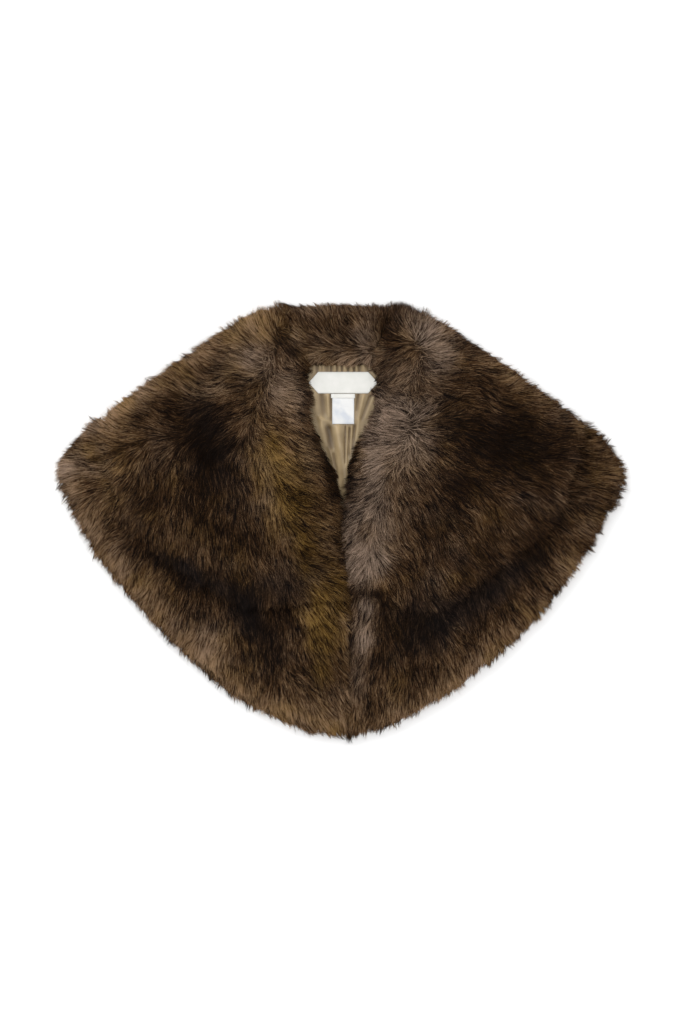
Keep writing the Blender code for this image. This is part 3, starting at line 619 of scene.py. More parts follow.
def scatter(surface, count, chance):
    """Places spread evenly over a surface, with the smooth normal at each."""
    points, normals, corners = surface
    a, b, c = (points[corners[:, k]] for k in range(3))
    areas = np.cumsum(np.linalg.norm(np.cross(b - a, c - a), axis=1))
    picked = np.searchsorted(areas / areas[-1], (np.arange(count) + chance.random(count)) / count)
    picked = np.minimum(picked, len(corners) - 1)
    s, t = chance.random((2, count))
    past = s + t > 1.0
    s[past], t[past] = 1.0 - s[past], 1.0 - t[past]
    shares = np.stack([1.0 - s - t, s, t], axis=1)[:, :, None]
    chosen = corners[picked]
    normal = (normals[chosen] * shares).sum(axis=1)
    return (points[chosen] * shares).sum(axis=1), unit(normal)


def combed(rows, place):
    """Which way the pile lies at each place, blended between the combed places."""
    rows = np.array(rows, float)
    away = ((place[:, None, :2] - rows[None, :, :2] * MM) ** 2).sum(axis=2)
    weight = (away + COMB_REACH ** 2) ** -2
    heading = np.radians(rows[:, 2])
    return unit(weight @ np.stack([np.cos(heading), np.sin(heading)], axis=1))


def left_of(line, place):
    """How far each place lies to the left of a line of points in millimetres, going along it."""
    nearest = np.full(len(place), np.inf)
    signed = np.zeros(len(place))
    for start, end in zip(line, line[1:]):
        start = np.array(start) * MM
        run = np.array(end) * MM - start
        offset = place[:, :2] - start
        share = np.clip(offset @ run / (run @ run), 0.0, 1.0)
        away = np.linalg.norm(offset - share[:, None] * run, axis=1)
        turn = np.sign(run[0] * offset[:, 1] - run[1] * offset[:, 0])
        closer = away < nearest
        nearest[closer] = away[closer]
        signed[closer] = (turn * away)[closer]
    return signed


def lie_of(node, place, chance):
    """Which way the pile lies at each place of a panel."""
    if node in ("collar_fall", "body_back"):
        return combed(UNDER_COMB, place)
    if node == "collar_back":
        return combed(NECK_COMB, place)
    if node == "body_front_left":
        return combed(LEFT_FRONT_COMB, place)
    if node == "body_front_right":
        return combed(RIGHT_FRONT_COMB, place)
    left = node == "collar_left"
    parting = LEFT_PARTING if left else RIGHT_PARTING
    inner, outer = (LEFT_INNER_COMB, LEFT_OUTER_COMB) if left else (RIGHT_INNER_COMB, RIGHT_OUTER_COMB)
    side = left_of(parting, place) * (1.0 if left else -1.0) + chance.normal(0.0, PARTING_NOISE, len(place))
    share = 1.0 / (1.0 + np.exp(-side / PARTING_BLEND * PARTING_SLOPE))[:, None]
    near = 4.0 * share * (1.0 - share)
    return share * combed(inner, place) + (1.0 - share) * combed(outer, place) + near * (0.0, -PARTING_DOWN)


def noise_at(place, size, shift=0.0):
    """Soft noise from about -1 to 1 in plan, with spots of this size."""
    return np.array([noise.noise(Vector((x / size + shift, y / size, 1.0))) for x, y, _ in place.tolist()])


def tone_of(place):
    """How pale, golden and grey the pile is at each place: the fur's own soft patches and mottles, with
    painted shade and painted highlight laid in among the patches.
    """
    tone = np.zeros((len(place), 3))
    for x, y, long, wide, turn, *amounts in PATCHES:
        offset = place[:, :2] - (x * MM, y * MM)
        cos, sin = math.cos(math.radians(turn)), math.sin(math.radians(turn))
        along = (offset[:, 0] * cos + offset[:, 1] * sin) / (long * MM)
        across = (offset[:, 1] * cos - offset[:, 0] * sin) / (wide * MM)
        tone[:, :len(amounts)] += np.exp(-(along ** 2 + across ** 2) ** PATCH_EDGE)[:, None] * amounts
    for size, *amounts in MOTTLES:
        for channel, amount in enumerate(amounts):
            tone[:, channel] += amount * noise_at(place, size, 9.0 * channel)
    tone[:, 0] += BASE_TONE
    return np.clip(tone, (-1.0, 0.0, 0.0), 1.0)


def nearest_of(centres, place):
    """For each place, which of the centres is nearest."""
    found = search_of(centres)
    return np.array([found.find(p)[1] for p in place.tolist()])


def reach_of(node):
    """The reach that the pile has past each place of a panel's outline, at least and more by
    chance: short into the open air, and long where the panel laps over the next one."""
    places, _outwards, is_open = outlines[node]
    reach = np.where(is_open[:, None], OUTER_REACH, LAP_REACH)
    for i, (x, y, _) in enumerate(places.tolist()):
        opening = opening_reach(node, x, y)
        if opening is not None:
            reach[i] = opening, OPENING_CHANCE
        elif node == "collar_back" and not is_open[i]:
            reach[i] = STAND_REACH
        elif is_open[i]:
            reach[i, 0] += HEM_WAVES[1] * noise.noise(Vector((x, y, 0.0)) / HEM_WAVES[0]) + hem_shift(x, y)
        for wisp_x, wisp_y, radius, more in WISPS:
            away = math.hypot(x / MM - wisp_x, y / MM - wisp_y) / radius
            reach[i] += np.multiply(WISP_SHARES, more * MM * math.exp(-away * away))
    return reach


def hair_lines(node, chance):
    """Root, middle and tip of each hair of a panel, with the normal at its root, the chances it shares with
    its lock and tuft and its own, its width, its tuft's leader, whether it is a guard hair, and its shade.
    """
    count, length, width, _seed = PILES[node]
    side = GROUND_CLOTHS[node][0]
    spare = SPARE_ROOTS if node in COVERED_BY else 1
    root, normal = scatter(roots[node], count * spare, chance)
    lie = lie_of(node, root, chance)
    heading = np.arctan2(lie[:, 1], lie[:, 0])
    if node in COVERED_BY:
        ahead = root + LOOK_AHEAD * np.stack([np.cos(heading), np.sin(heading), 0.0 * heading], axis=1)
        ray = (0.0, 0.0, float(side))
        trees = [solid_trees[other] for other in COVERED_BY[node]]
        shown = np.array([all(t.ray_cast(p, ray)[0] is None for t in trees) for p in ahead.tolist()])
        kept = np.flatnonzero(shown)
        kept = np.sort(chance.permutation(kept)[:count])
        root, normal, heading = root[kept], normal[kept], heading[kept]
        count = len(kept)
    locks = root[chance.choice(count, count // HAIRS_PER_LOCK, replace=False)]
    lock = nearest_of(locks, root)
    leaders = chance.choice(count, count // HAIRS_PER_TUFT, replace=False)
    tuft = nearest_of(root[leaders], root)
    lock_chance = chance.normal(0.0, 1.0, (len(locks), 3))[lock]
    tuft_chance = chance.normal(0.0, 1.0, (len(leaders), 3))[tuft]
    own_chance = chance.normal(0.0, 1.0, (count, 3))
    firsts = chance.choice(count, count // HAIRS_PER_STRAND, replace=False)
    first = firsts[nearest_of(root[firsts], root)]
    guard = chance.random(count)[first] < GUARD_SHARE
    shade = STRAND_SHADE[0] * chance.random(count)[first] + STRAND_SHADE[1] * chance.random(count)
    shade = np.where(guard, GUARD_SHADE * shade, WOOL_SHADE[0] + WOOL_SHADE[1] * shade)
    swing = LOCK_SWING * lock_chance[:, 0] + TUFT_SWING * tuft_chance[:, 0] + HAIR_SWING * own_chance[:, 0]
    for size, turn in FLOW_NOISE:
        swing += turn * noise_at(root, size, 5.0)
    heading = heading + np.radians(swing)
    level = np.stack([np.cos(heading), np.sin(heading), np.zeros(count)], axis=1)
    level[:, 2] = -DOWNHILL * (level[:, :2] * normal[:, :2]).sum(axis=1) - SETTLED * side
    flow = unit(level - normal * (level * normal).sum(axis=1, keepdims=True))
    least, more, by_lock = HAIR_LENGTHS
    long = length * (least + more * chance.random(count)) * (1.0 + by_lock * lock_chance[:, 1])
    long = np.where(guard, GUARD_LONGER, 1.0) * long
    lifts = []
    for k, degrees, chances in ((1, LIFT[0], LIFT_CHANCE), (2, LIFT[1], END_LIFT_CHANCE)):
        by_tuft, by_hair, by_guard = chances
        degrees = degrees + by_tuft * tuft_chance[:, k] + by_hair * own_chance[:, k] + by_guard * guard
        lifts.append(np.radians(degrees)[:, None])
    lift, end_lift = lifts
    middle = root + (BEND_SHARE * long)[:, None] * (flow * np.cos(lift) + normal * np.sin(lift))
    curl = np.cross(normal, flow) * (HAIR_CURL * own_chance[:, 0])[:, None]
    rise = flow * np.cos(end_lift) + normal * np.sin(end_lift) + curl
    tip = middle + ((1.0 - BEND_SHARE) * long)[:, None] * rise
    middle += GUARD_PULL[0] * guard[:, None] * (middle[first] - middle)
    tip += GUARD_PULL[1] * guard[:, None] * (tip[first] - tip)
    lead = leaders[tuft]
    middle += TUFT_PULL[0] * (middle[lead] + TUFT_FAN[0] * (root - root[lead]) - middle)
    tip += TUFT_PULL[1] * (tip[lead] + TUFT_FAN[1] * (root - root[lead]) - tip)
    return [root, middle, tip, normal, tuft_chance, own_chance, lock_chance, width, lead, guard, shade]


def near_edge(node, place):
    """About 1 past the open edge of a panel, less within it."""
    rim, away = nearest_rim(node, place)
    share = np.clip(1.0 - within_plan(node, place) * away / EDGE_DARK_WIDTH, 0.0, 1.0)
    return outlines[node][2][rim] * share * (1.0 + EDGE_DARK_NOISE[1] * noise_at(place, EDGE_DARK_NOISE[0]))


def near_opening(node, place):
    """1 at the neck opening's edge, less away from it: how much painted shade the pile gets where it turns
    down into the opening.
    """
    if node not in OPENING_REACH:
        return 0.0
    places, outwards, _is_open = outlines[node]
    shifts = [opening_reach(node, x, y) for x, y, _ in places.tolist()]
    rim = np.array([
        shift is not None and y > OPENING_SHADE_FROM for shift, y in zip(shifts, places[:, 1])
    ])
    shifted = np.array([shift or 0.0 for shift in shifts])[rim][:, None] * outwards[rim]
    found = search_of(places[rim] + shifted)
    away = np.array([found.find((x, y, 0.0))[2] for x, y, _ in place.tolist()])
    return np.exp(-((away / OPENING_SHADE_WIDTH) ** 2))


def over_opening(node, root):
    """How far each hair is set out over the neck opening, so that its tip reaches past the edge."""
    places, outwards, _is_open = outlines[node]
    amounts = np.array([
        max((opening_reach(node, x, y) or 0.0) - OPENING_SHORT, 0.0) for x, y, _ in places.tolist()
    ])
    rim, away = nearest_rim(node, root)
    return (amounts[rim] * np.exp(-((away / OPENING_BLEND) ** 2)))[:, None] * outwards[rim]


def height_on(tree, side, place, otherwise):
    """The height of a cloth's surface at each place, and what is given where there is none."""
    heights = otherwise.copy()
    for i, (x, y, _) in enumerate(place.tolist()):
        hit = tree.ray_cast((x, y, float(side)), (0.0, 0.0, -float(side)))[0]
        if hit is not None:
            heights[i] = hit.z
    return heights


def keep_to_outline(node, root, middle, tip, tuft_chance, lead, guard, chance):
    """Draws the hairs that would stand out too far past the panel's outline back in to it, root
    and all, and lets what is past it hang."""
    side = GROUND_CLOTHS[node][0]
    reach = reach_of(node)
    nearest, away = nearest_rim(node, tip)
    past = np.where(within_plan(node, tip), -away, away)
    near = np.clip(1.0 + past / EDGE_WIDTH, 0.0, 1.0)[:, None]
    tip = tip + EDGE_PULL * near * (tip[lead] - tip)
    mean, by_tuft, by_hair = REACH_CHANCE
    more = mean + by_tuft * tuft_chance[:, 0] + by_hair * chance.normal(0.0, 1.0, len(root))
    excess = past - reach[nearest, 0] - reach[nearest, 1] * np.clip(more, 0.0, MOST_REACH)
    excess -= GUARD_REACH * guard * chance.random(len(root))
    far = np.flatnonzero(excess > 0.0)
    flow = tip[far] - root[far]
    flow[:, 2] = 0.0
    back = unit(flow) * excess[far, None]
    drawn = root[far] - back
    cloth = BVHTree.FromPolygons(roots[node][0].tolist(), roots[node][2].tolist())
    drawn[:, 2] = height_on(cloth, side, drawn, root[far, 2])
    end = tip[far] - back
    end[:, 2] -= side * HANG * np.clip(past[far] - excess[far], 0.0, None)
    bend = BEND_BLEND[0] * drawn + BEND_BLEND[1] * end
    raised = height_on(cloth, side, bend, bend[:, 2]) + side * LEAST_RISE * GROUND_CLOTHS[node][1]
    bend[:, 2] = side * np.maximum(side * bend[:, 2], side * raised)
    root[far], middle[far], tip[far] = drawn, bend, end
    return root, middle, tip


def join_hairs(name, line, across, tone, shade):
    """One mesh of all hairs. A hair is a blade of four points: one at its root, two at its middle
    and one at its tip."""
    count = len(shade)
    root, middle, tip = line
    points = np.stack([root, middle - across, middle + across, tip], axis=1)
    corner = 4 * np.arange(count)[:, None] + np.array([0, 2, 1, 1, 2, 3])
    mesh = bpy.data.meshes.new(name)
    mesh.vertices.add(4 * count)
    mesh.vertices.foreach_set("co", points.astype(np.float32).ravel())
    mesh.loops.add(6 * count)
    mesh.loops.foreach_set("vertex_index", corner.astype(np.int32).ravel())
    mesh.polygons.add(2 * count)
    mesh.polygons.foreach_set("loop_start", 3 * np.arange(2 * count, dtype=np.int32))
    mesh.update(calc_edges=True)
    mesh.shade_smooth()
    hair_uv = np.empty((count, 6, 2), np.float32)
    hair_uv[:, :, 0] = shade[:, None]
    hair_uv[:, :, 1] = (0.0, 0.5, 0.5, 0.5, 0.5, 1.0)
    mesh.uv_layers.new(name="hair").data.foreach_set("uv", hair_uv.ravel())
    columns = math.ceil(math.sqrt(2.0 * count))
    rows = math.ceil(count / columns)
    cell = np.stack([np.arange(count) % columns, np.arange(count) // columns], axis=1)[:, None, :]
    within = np.array([(0.5, 0.03), (0.9, 0.5), (0.1, 0.5), (0.1, 0.5), (0.9, 0.5), (0.5, 0.97)])
    baked_uv = (cell + within) / (columns, rows)
    mesh.uv_layers.new(name="OFBake").data.foreach_set("uv", baked_uv.astype(np.float32).ravel())
    colours = np.ones((count, 4, 4), np.float32)
    colours[:, :, :3] = tone[:, None, :]
    attribute = mesh.color_attributes.new(name="tone", type="FLOAT_COLOR", domain="POINT")
    attribute.data.foreach_set("color", colours.ravel())
    piece = bpy.data.objects.new(name, mesh)
    bpy.context.collection.objects.link(piece)
    return piece


def grow_pile(node):
    """The pile of one panel."""
    chance = np.random.default_rng(PILES[node][3])
    lines = hair_lines(node, chance)
    root, middle, tip, normal, tuft_chance, own_chance, lock_chance, width, lead, guard, shade = lines
    if node in OPENING_REACH:
        moved = over_opening(node, root)
        root, middle, tip = root + ROOT_MOVED * moved, middle + moved, tip + moved
    root, middle, tip = keep_to_outline(node, root, middle, tip, tuft_chance, lead, guard, chance)
    for points in (middle, tip):
        points[:, 2] = np.maximum(points[:, 2], FLOOR_CLEAR)
    tilt = np.radians(BLADE_TILT * own_chance[:, 1])[:, None]
    along = unit(tip - root)
    flat = unit(np.cross(along, normal))
    across = 0.5 * width * (flat * np.cos(tilt) + np.cross(along, flat) * np.sin(tilt))
    tone = tone_of(middle)
    # Darker at the open edges, and painted shade along the neck opening's edge.
    tone[:, 0] -= EDGE_DARKER * near_edge(node, tip) + OPENING_PAINTED_SHADE * near_opening(node, tip)
    tone[:, 0] += TONE_CHANCE * lock_chance[:, 2] + TONE_CHANCE * tuft_chance[:, 2]
    order = np.argsort(lead, kind="stable")
    line = [points[order] for points in (root, middle, tip)]
    return join_hairs(node + "_pile", line, across[order], tone[order], shade[order])


PILE_BROWNS = [(0.0, (0.005, 0.0021, 0.0008)), (0.3, (0.0245, 0.0110, 0.0040)),
               (0.6, (0.092, 0.0460, 0.0185)), (1.0, (0.35, 0.22, 0.12))]
PILE_GOLDS = [(0.0, (0.006, 0.0025, 0.0005)), (0.3, (0.029, 0.0137, 0.0026)), (0.6, (0.110, 0.057, 0.012)),
              (1.0, (0.36, 0.21, 0.06))]
PILE_GREYS = [(0.0, (0.006, 0.0040, 0.0036)), (0.3, (0.025, 0.0157, 0.0118)), (0.6, (0.100, 0.063, 0.041)),
              (1.0, (0.38, 0.27, 0.195))]
PILE_SHADES = [(0.0, 0.20), (0.45, 0.75), (0.8, 1.1), (1.0, 1.5)]


def pile_colours():
    """A node group: the colour of a hair from its tone, which carries its dye with painted shade and painted
    highlight, its own chance and the place along it.
    """
    group = bpy.data.node_groups.new("pile_colours", "ShaderNodeTree")
    for name, kind in (("Tone", "Color"), ("Hair", "Vector"), ("Spread", "Float")):
        group.interface.new_socket(name, in_out="INPUT", socket_type="NodeSocket" + kind)
    group.interface.new_socket("Colour", in_out="OUTPUT", socket_type="NodeSocketColor")
    given = group.nodes.new("NodeGroupInput").outputs
    tone = add_node(group, "SeparateColor", {"Color": given["Tone"]}).outputs
    hair = add_node(group, "SeparateXYZ", {"Vector": given["Hair"]}).outputs
    centred = add_node(group, "Math", {0: hair["X"], 1: 0.5}, operation="SUBTRACT").outputs[0]
    spread = add_node(group, "Math", {0: centred, 1: given["Spread"]}, operation="MULTIPLY").outputs[0]
    along = add_node(group, "VectorMath", {0: given["Hair"], 1: (*HAIR_BANDS[:2], 0.0)}, operation="MULTIPLY")
    bands = add_node(group, "TexNoise", {"Vector": along.outputs[0], "Scale": 1.0, "Detail": 1.0})
    centring = {0: bands.outputs["Fac"], 1: HAIR_BANDS[2], 2: -0.5 * HAIR_BANDS[2]}
    banded = add_node(group, "Math", centring, operation="MULTIPLY_ADD")
    spread = add_node(group, "Math", {0: banded.outputs[0], 1: spread}, operation="ADD").outputs[0]
    pale = add_node(group, "Math", {0: tone["Red"], 1: spread}, operation="ADD").outputs[0]
    brown = add_ramp(group, pale, PILE_BROWNS)
    gold = add_ramp(group, pale, PILE_GOLDS)
    grey = add_ramp(group, pale, PILE_GREYS)
    dye_and_shade = add_mix(group, tone["Green"], brown, gold)
    dye_and_shade = add_mix(group, tone["Blue"], dye_and_shade, grey)
    shade = add_ramp(group, hair["Y"], PILE_SHADES)
    colour = add_mix(group, 1.0, dye_and_shade, shade, "MULTIPLY")
    group.links.new(colour, group.nodes.new("NodeGroupOutput").inputs["Colour"])
    return group


pile_group = pile_colours()
pile_finishes = {}
for name, spread in (("upper_pile", 0.92), ("under_pile", 0.50)):
    material, tree, shader = new_material(name, 0.6, specular_ior_level=0.06)
    tone = add_node(tree, "Attribute", attribute_name="tone").outputs["Color"]
    hair = add_node(tree, "UVMap", uv_map="hair").outputs["UV"]
    grouped = add_node(tree, "Group", node_tree=pile_group)
    tree.links.new(tone, grouped.inputs["Tone"])
    tree.links.new(hair, grouped.inputs["Hair"])
    grouped.inputs["Spread"].default_value = spread
    tree.links.new(grouped.outputs["Colour"], shader.inputs["Base Color"])
    pile_finishes[name] = material

for node, (side, _depth, held, cut_width, cut_length, cut_area) in GROUND_CLOTHS.items():
    pile = grow_pile(node)
    pile.data.materials.append(pile_finishes["upper_pile" if side > 0 else "under_pile"])
    for piece in (cloths[node], pile):
        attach(piece, "root")
    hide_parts(node)

# ---------------------------------------------------------------------------------------------
# Satin lining. A thin woven satin, gathered into the neck seam in uneven small puckers, with a
# pleat down its middle and soft creases beside it.
# ---------------------------------------------------------------------------------------------
SATIN_WALL = 0.0005
CREASE_FADE = 0.5
LABEL_CLEAR = 0.003
AT_THE_EDGE = 1e-4
LINING_CREASES = [
    # from x and y, to x and y, half width and height, all in millimetres
    # the gathers above the label
    (-31.4, 186, -31.0, 169, 1.5, 1.3), (-28.0, 186, -27.2, 168, 1.5, -1.7),
    (-24.6, 186, -24.0, 170, 1.2, 1.7), (-22.4, 186, -22.0, 172, 0.8, -0.9),
    (-20.4, 186, -20.3, 169, 1.2, 1.6), (-16.2, 186, -15.8, 170, 2.0, -1.1),
    (-13.6, 186, -13.2, 172, 0.8, 0.7), (-11.6, 186, -11.3, 167, 0.9, -2.6),
    (-7.6, 186, -7.2, 168, 1.7, 1.7), (-4.7, 186, -4.6, 167, 0.9, -2.6),
    (-1.8, 186, -1.6, 169, 1.3, 1.8), (1.1, 186, 1.1, 167, 0.9, -2.6),
    (4.2, 186, 4.4, 168, 1.6, 1.8), (7.8, 186, 8.1, 167, 1.2, -2.6),
    (11.3, 186, 11.8, 168, 1.7, 1.8), (14.4, 186, 15.0, 167, 1.2, -2.8),
    (16.8, 186, 17.6, 170, 1.0, 1.5), (20.0, 186, 21.2, 168, 1.5, -2.0),
    (24.2, 186, 26.0, 169, 1.9, 1.6), (28.2, 186, 31.0, 169, 1.1, -1.5),
    (30.8, 186, 34.8, 170, 1.1, 1.4), (33.6, 186, 38.6, 170, 1.2, -2.0),
    (36.4, 185, 42.4, 171, 1.2, 1.6),
    # the seam, which draws the satin down into a trough that the painted fold shade darkens
    (-36.0, 180.0, 40.0, 180.0, 2.2, -1.8), (40.0, 180.0, -36.0, 180.0, 2.2, -1.8),
    # left of the care label
    (-15.5, 147, -14.0, 119, 2.0, 1.8), (-11.6, 146, -11.6, 114, 1.5, -1.8),
    (-30.0, 146, -27.0, 120, 3.0, 1.2), (-22.5, 144, -20.0, 122, 2.6, -1.2),
    (-24.0, 116, -9.0, 111, 1.8, 1.5), (-14.5, 105, -12.0, 84, 3.4, -2.0),
    (-24.0, 117, -17.5, 86, 2.6, 1.6),
    # the pleat down the middle
    (-4.5, 108, -2.0, 40, 3.4, 1.8), (4.9, 107, 4.6, 66, 0.8, -1.6),
    (7.2, 106, 6.4, 60, 1.3, 1.4), (9.8, 105, 8.2, 74, 1.2, -1.6),
    (12.2, 106, 10.2, 78, 1.2, 1.3), (15.6, 108, 13.2, 82, 1.6, -1.6),
    (-8.5, 76, -3.5, 46, 1.6, -1.2),
    # right of the care label
    (27.0, 147, 19.5, 116, 1.9, 1.7), (20.0, 147, 17.6, 126, 1.4, -1.6),
    (33.5, 142, 24.0, 116, 1.7, -1.4), (38.0, 144, 28.0, 118, 2.4, 1.0),
    (20.0, 114, 18.0, 92, 2.0, 1.1),
]
label_boxes = [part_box(name) for name in ("main_label", "care_label", "size_tab")]
lining_tree = BVHTree.FromPolygons(
    points_of(nodes["back_lining"].data).tolist(), triangles_of(nodes["back_lining"].data).tolist()
)


def crease_height(rows, x, y):
    """What the creases add to the height at a place."""
    total = 0.0
    for from_x, from_y, to_x, to_y, half_width, height in rows:
        run_x, run_y = to_x - from_x, to_y - from_y
        share = ((x / MM - from_x) * run_x + (y / MM - from_y) * run_y) / (run_x ** 2 + run_y ** 2)
        near = min(max(share, 0.0), 1.0)
        away = math.hypot(x / MM - from_x - near * run_x, y / MM - from_y - near * run_y)
        fade = 1.0 - CREASE_FADE * near
        total += height * MM * fade * math.exp(-((away / half_width) ** 2))
    return total


def clear_of_labels(x, y):
    """0 under a label and 1 well past it."""
    nearest = min(
        math.hypot(max(low.x - x, 0.0, x - high.x), max(low.y - y, 0.0, y - high.y))
        for low, high in label_boxes
    )
    share = min(nearest / LABEL_CLEAR, 1.0)
    return share * share * (3.0 - 2.0 * share)


def new_grid(name, columns, rows):
    """A flat grid from -0.5 to 0.5, as its own piece."""
    bpy.ops.object.select_all(action="DESELECT")
    bpy.ops.mesh.primitive_grid_add(x_subdivisions=columns, y_subdivisions=rows, size=1.0)
    piece = bpy.context.object
    piece.name = name
    piece.data.name = name
    return piece


lining_points = points_of(nodes["back_lining"].data)
lining_levels = np.unique(lining_points[:, 1].round(4))
lining_ends = [
    (row[:, 0].min(), row[:, 0].max())
    for row in (lining_points[np.abs(lining_points[:, 1] - level) < AT_THE_EDGE] for level in lining_levels)
]
lining = new_grid("satin_lining", 128, 104)
for vertex in lining.data.vertices:
    y = lining_levels[0] + (vertex.co.y + 0.5) * (lining_levels[-1] - lining_levels[0])
    left = np.interp(y, lining_levels, [ends[0] for ends in lining_ends])
    right = np.interp(y, lining_levels, [ends[1] for ends in lining_ends])
    x = left + (vertex.co.x + 0.5) * (right - left)
    x_safe = min(max(x, left + AT_THE_EDGE), right - AT_THE_EDGE)
    y_safe = min(max(y, lining_levels[0] + AT_THE_EDGE), lining_levels[-1] - AT_THE_EDGE)
    hit = lining_tree.ray_cast((x_safe, y_safe, 1.0), (0.0, 0.0, -1.0))[0]
    z = hit.z if hit else label_boxes[0][0].z
    vertex.co = (x, y, z + crease_height(LINING_CREASES, x, y) * clear_of_labels(x, y))
lining.data.shade_smooth()
apply_modifier(lining, "SMOOTH", factor=0.5, iterations=2)
# The height of the creases at each point, kept for the painted shade in the folds and painted highlight on
# their ridges.
fold = lining.data.attributes.new(name="fold", type="FLOAT", domain="POINT")
fold.data.foreach_set("value", [crease_height(LINING_CREASES, *v.co.xy) / MM for v in lining.data.vertices])
apply_modifier(lining, "SOLIDIFY", thickness=SATIN_WALL, offset=-1.0)


def weave_group():
    """A node group: the height of a fine weave's threads across and along a piece."""
    group = bpy.data.node_groups.new("weave", "ShaderNodeTree")
    group.interface.new_socket("Threads", in_out="INPUT", socket_type="NodeSocketFloat")
    group.interface.new_socket("Height", in_out="OUTPUT", socket_type="NodeSocketFloat")
    given = group.nodes.new("NodeGroupInput").outputs
    place = add_node(group, "TexCoord").outputs["Object"]
    waves = []
    for direction in ("X", "Y"):
        wave = add_node(group, "TexWave", {"Vector": place, "Scale": given["Threads"]})
        wave.bands_direction = direction
        waves.append(wave.outputs["Fac"])
    height = add_node(group, "Math", {0: waves[0], 1: waves[1]}, operation="MULTIPLY").outputs[0]
    group.links.new(height, group.nodes.new("NodeGroupOutput").inputs["Height"])
    return group


weave = weave_group()
# Painted shade in the troughs of the satin's creases and painted highlight on their ridges, by crease height.
FOLD_SHADE_AND_HIGHLIGHT = [(0.0, (0.30, 0.25, 0.19)), (0.35, (0.70, 0.66, 0.60)), (0.5, 0.95), (1.0, 1.45)]


def woven_finish(name, roughness, stops, threads, strength, folded=False, **settings):
    """A woven cloth's material: soft shades of its colour, painted shade down in its folds and painted
    highlight on their ridges where it has any, and its threads as bump."""
    material, tree, shader = new_material(name, roughness, **settings)
    place = add_node(tree, "TexCoord").outputs["Object"]
    cloudy = add_node(tree, "TexNoise", {"Vector": place, "Scale": 70.0, "Detail": 4.0})
    threads_node = add_node(tree, "Group", node_tree=weave)
    threads_node.inputs["Threads"].default_value = threads
    bump = add_node(tree, "Bump", {"Strength": strength, "Distance": 0.0001,
                                   "Height": threads_node.outputs["Height"]})
    colour = add_ramp(tree, cloudy.outputs["Fac"], stops)
    # Where it has folds: painted shade in their troughs and painted highlight on their ridges.
    if folded:
        fold = add_node(tree, "Attribute", attribute_name="fold").outputs["Fac"]
        height = add_node(tree, "MapRange", {"Value": fold, "From Min": -1.5, "From Max": 1.5}).outputs[0]
        colour = add_mix(tree, 1.0, colour, add_ramp(tree, height, FOLD_SHADE_AND_HIGHLIGHT), "MULTIPLY")
    tree.links.new(colour, shader.inputs["Base Color"])
    tree.links.new(bump.outputs["Normal"], shader.inputs["Normal"])
    return material


satin_finish = woven_finish(
    "tan_satin", 0.36, [(0.3, (0.235, 0.168, 0.088)), (0.7, (0.32, 0.235, 0.128))], 1100.0, 0.15, True,
    specular_ior_level=0.4, sheen_weight=0.1)
lining.data.materials.append(satin_finish)
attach(lining, "root")
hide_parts("back_lining")

# ---------------------------------------------------------------------------------------------
# Labels. The main label is a white woven ribbon whose ends are folded to a point, tacked to the
# lining at the neck. A small woven tab and a white satin care label hang from its lower edge.
# ---------------------------------------------------------------------------------------------
LABEL_WALL = 0.0004
TAB_WALL = 0.00025
TAB_FOLD = 0.15
LABEL_POINT = 0.011
LABEL_WAVES = [
    # from x and y, to x and y, half width and height, all in millimetres
    (-13.0, 168, -12.0, 146, 1.0, 0.35),
    (12.5, 168, 13.5, 146, 1.0, 0.35),
    (30.0, 168, 34.0, 150, 1.6, 0.30),
    (-28.0, 166, -30.0, 148, 1.6, 0.25),
]
CARE_WAVES = [
    (-8.0, 138, 6.0, 132, 2.6, 0.7),
    (2.0, 134, 13.0, 122, 2.4, -0.5),
    (-9.0, 118, 14.0, 114, 3.0, 0.4),
]
label_finish = woven_finish(
    "label_weave", 0.60, [(0.3, (0.76, 0.76, 0.71)), (0.7, (0.84, 0.83, 0.79))], 1400.0, 0.35,
    specular_ior_level=0.3)
# The care label's bluish grey clouds are painted reflection of the white satin's sheen.
care_finish = woven_finish(
    "care_satin", 0.32, [(0.35, (0.62, 0.65, 0.70)), (0.6, (0.82, 0.82, 0.81))], 1800.0, 0.12,
    specular_ior_level=0.6)


def sewn_label(name, node, columns, rows, point, waves, finish):
    """A label on the lining, with its own soft waves and a wall of cloth."""
    low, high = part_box(node)
    piece = new_grid(name, columns, rows)
    for vertex in piece.data.vertices:
        drawn_in = point * abs(2.0 * vertex.co.y)
        y = low.y + (vertex.co.y + 0.5) * (high.y - low.y)
        left, right = low.x + drawn_in, high.x - drawn_in
        x = left + (vertex.co.x + 0.5) * (right - left)
        vertex.co = (x, y, high.z + crease_height(waves, x, y))
    finish_label(piece, node, LABEL_WALL, finish)


def finish_label(piece, node, wall, finish):
    """Gives a label its wall of cloth and its material, in place of its solid."""
    piece.data.shade_smooth()
    apply_modifier(piece, "SOLIDIFY", thickness=wall, offset=-1.0)
    piece.data.materials.append(finish)
    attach(piece, "root")
    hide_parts(node)


sewn_label("woven_label", "main_label", 48, 14, LABEL_POINT, LABEL_WAVES, label_finish)
sewn_label("satin_care_label", "care_label", 20, 24, 0.0, CARE_WAVES, care_finish)

# The size tab is a ribbon folded in two, with its ends under the main label.
low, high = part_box("size_tab")
tab = new_grid("woven_size_tab", 16, 24)
for vertex in tab.data.vertices:
    along = 2.0 * vertex.co.y
    turn = math.sin(0.5 * math.pi * min(max(along / TAB_FOLD, -1.0), 1.0))
    x = low.x + (vertex.co.x + 0.5) * (high.x - low.x)
    y = low.y + abs(along) * (high.y - low.y)
    vertex.co = (x, y, 0.5 * (low.z + high.z) + 0.5 * turn * (high.z - low.z))
finish_label(tab, "size_tab", TAB_WALL, label_finish)

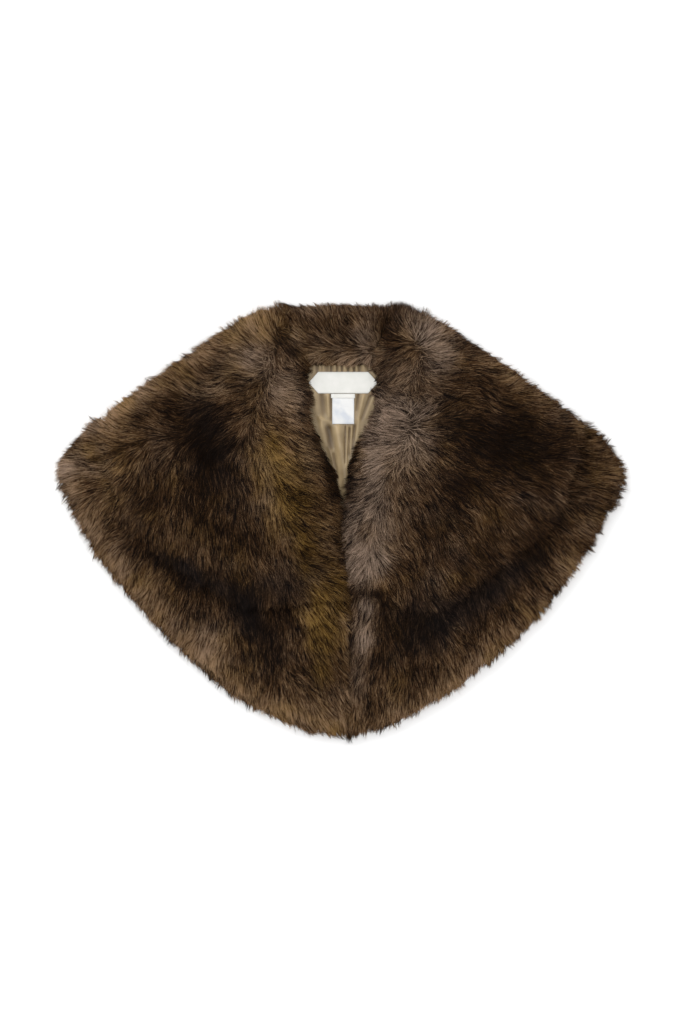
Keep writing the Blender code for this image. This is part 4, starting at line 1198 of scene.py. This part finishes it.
# ---------------------------------------------------------------------------------------------
# Floor, light and camera. A plain white table, two large soft lights and an even sky, and a long
# lens straight above.
# ---------------------------------------------------------------------------------------------
FLOOR_SIZE = 12.0
SHOWN_HEIGHT = 1.1662
SHOWN_CENTRE = (0.0, 0.0099)
SHOWN_LEVEL = 0.03
CAMERA_HEIGHT = 8.0
SENSOR = 36.0
bpy.ops.object.select_all(action="DESELECT")
bpy.ops.mesh.primitive_plane_add(size=FLOOR_SIZE)
floor = bpy.context.object
floor.name = "table_top"
floor_finish, tree, shader = new_material("white_table", 0.9, specular_ior_level=0.1)
shader.inputs["Base Color"].default_value = (0.93, 0.93, 0.93, 1.0)
shader.inputs["Emission Color"].default_value = (1.0, 1.0, 1.0, 1.0)
shader.inputs["Emission Strength"].default_value = 0.25
floor.data.materials.append(floor_finish)
floor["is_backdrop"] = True

world = bpy.data.worlds.new("studio")
bpy.context.scene.world = world
world.use_nodes = True
world.node_tree.nodes["Background"].inputs["Color"].default_value = (1.0, 1.0, 1.0, 1.0)
world.node_tree.nodes["Background"].inputs["Strength"].default_value = 0.85
for name, place, size, watts in (
    ("key_light", (-1.1, 1.3, 2.6), 2.2, 40.0),
    ("fill_light", (1.5, -0.6, 2.6), 2.4, 14.0),
):
    lamp = bpy.data.lights.new(name, "AREA")
    lamp.size = size
    lamp.energy = watts
    light = bpy.data.objects.new(name, lamp)
    light.location = place
    aim = math.hypot(place[0], place[1])
    light.rotation_euler = (math.atan2(aim, place[2]), 0.0, math.atan2(place[1], place[0]) + math.pi / 2)
    bpy.context.collection.objects.link(light)

camera_data = bpy.data.cameras.new("camera")
camera_data.sensor_width = SENSOR
camera_data.lens = SENSOR * (CAMERA_HEIGHT - SHOWN_LEVEL) / SHOWN_HEIGHT
camera = bpy.data.objects.new("camera", camera_data)
camera.location = (*SHOWN_CENTRE, CAMERA_HEIGHT)
bpy.context.collection.objects.link(camera)
bpy.context.scene.camera = camera
bpy.context.scene.view_settings.view_transform = "Standard"

low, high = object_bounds()
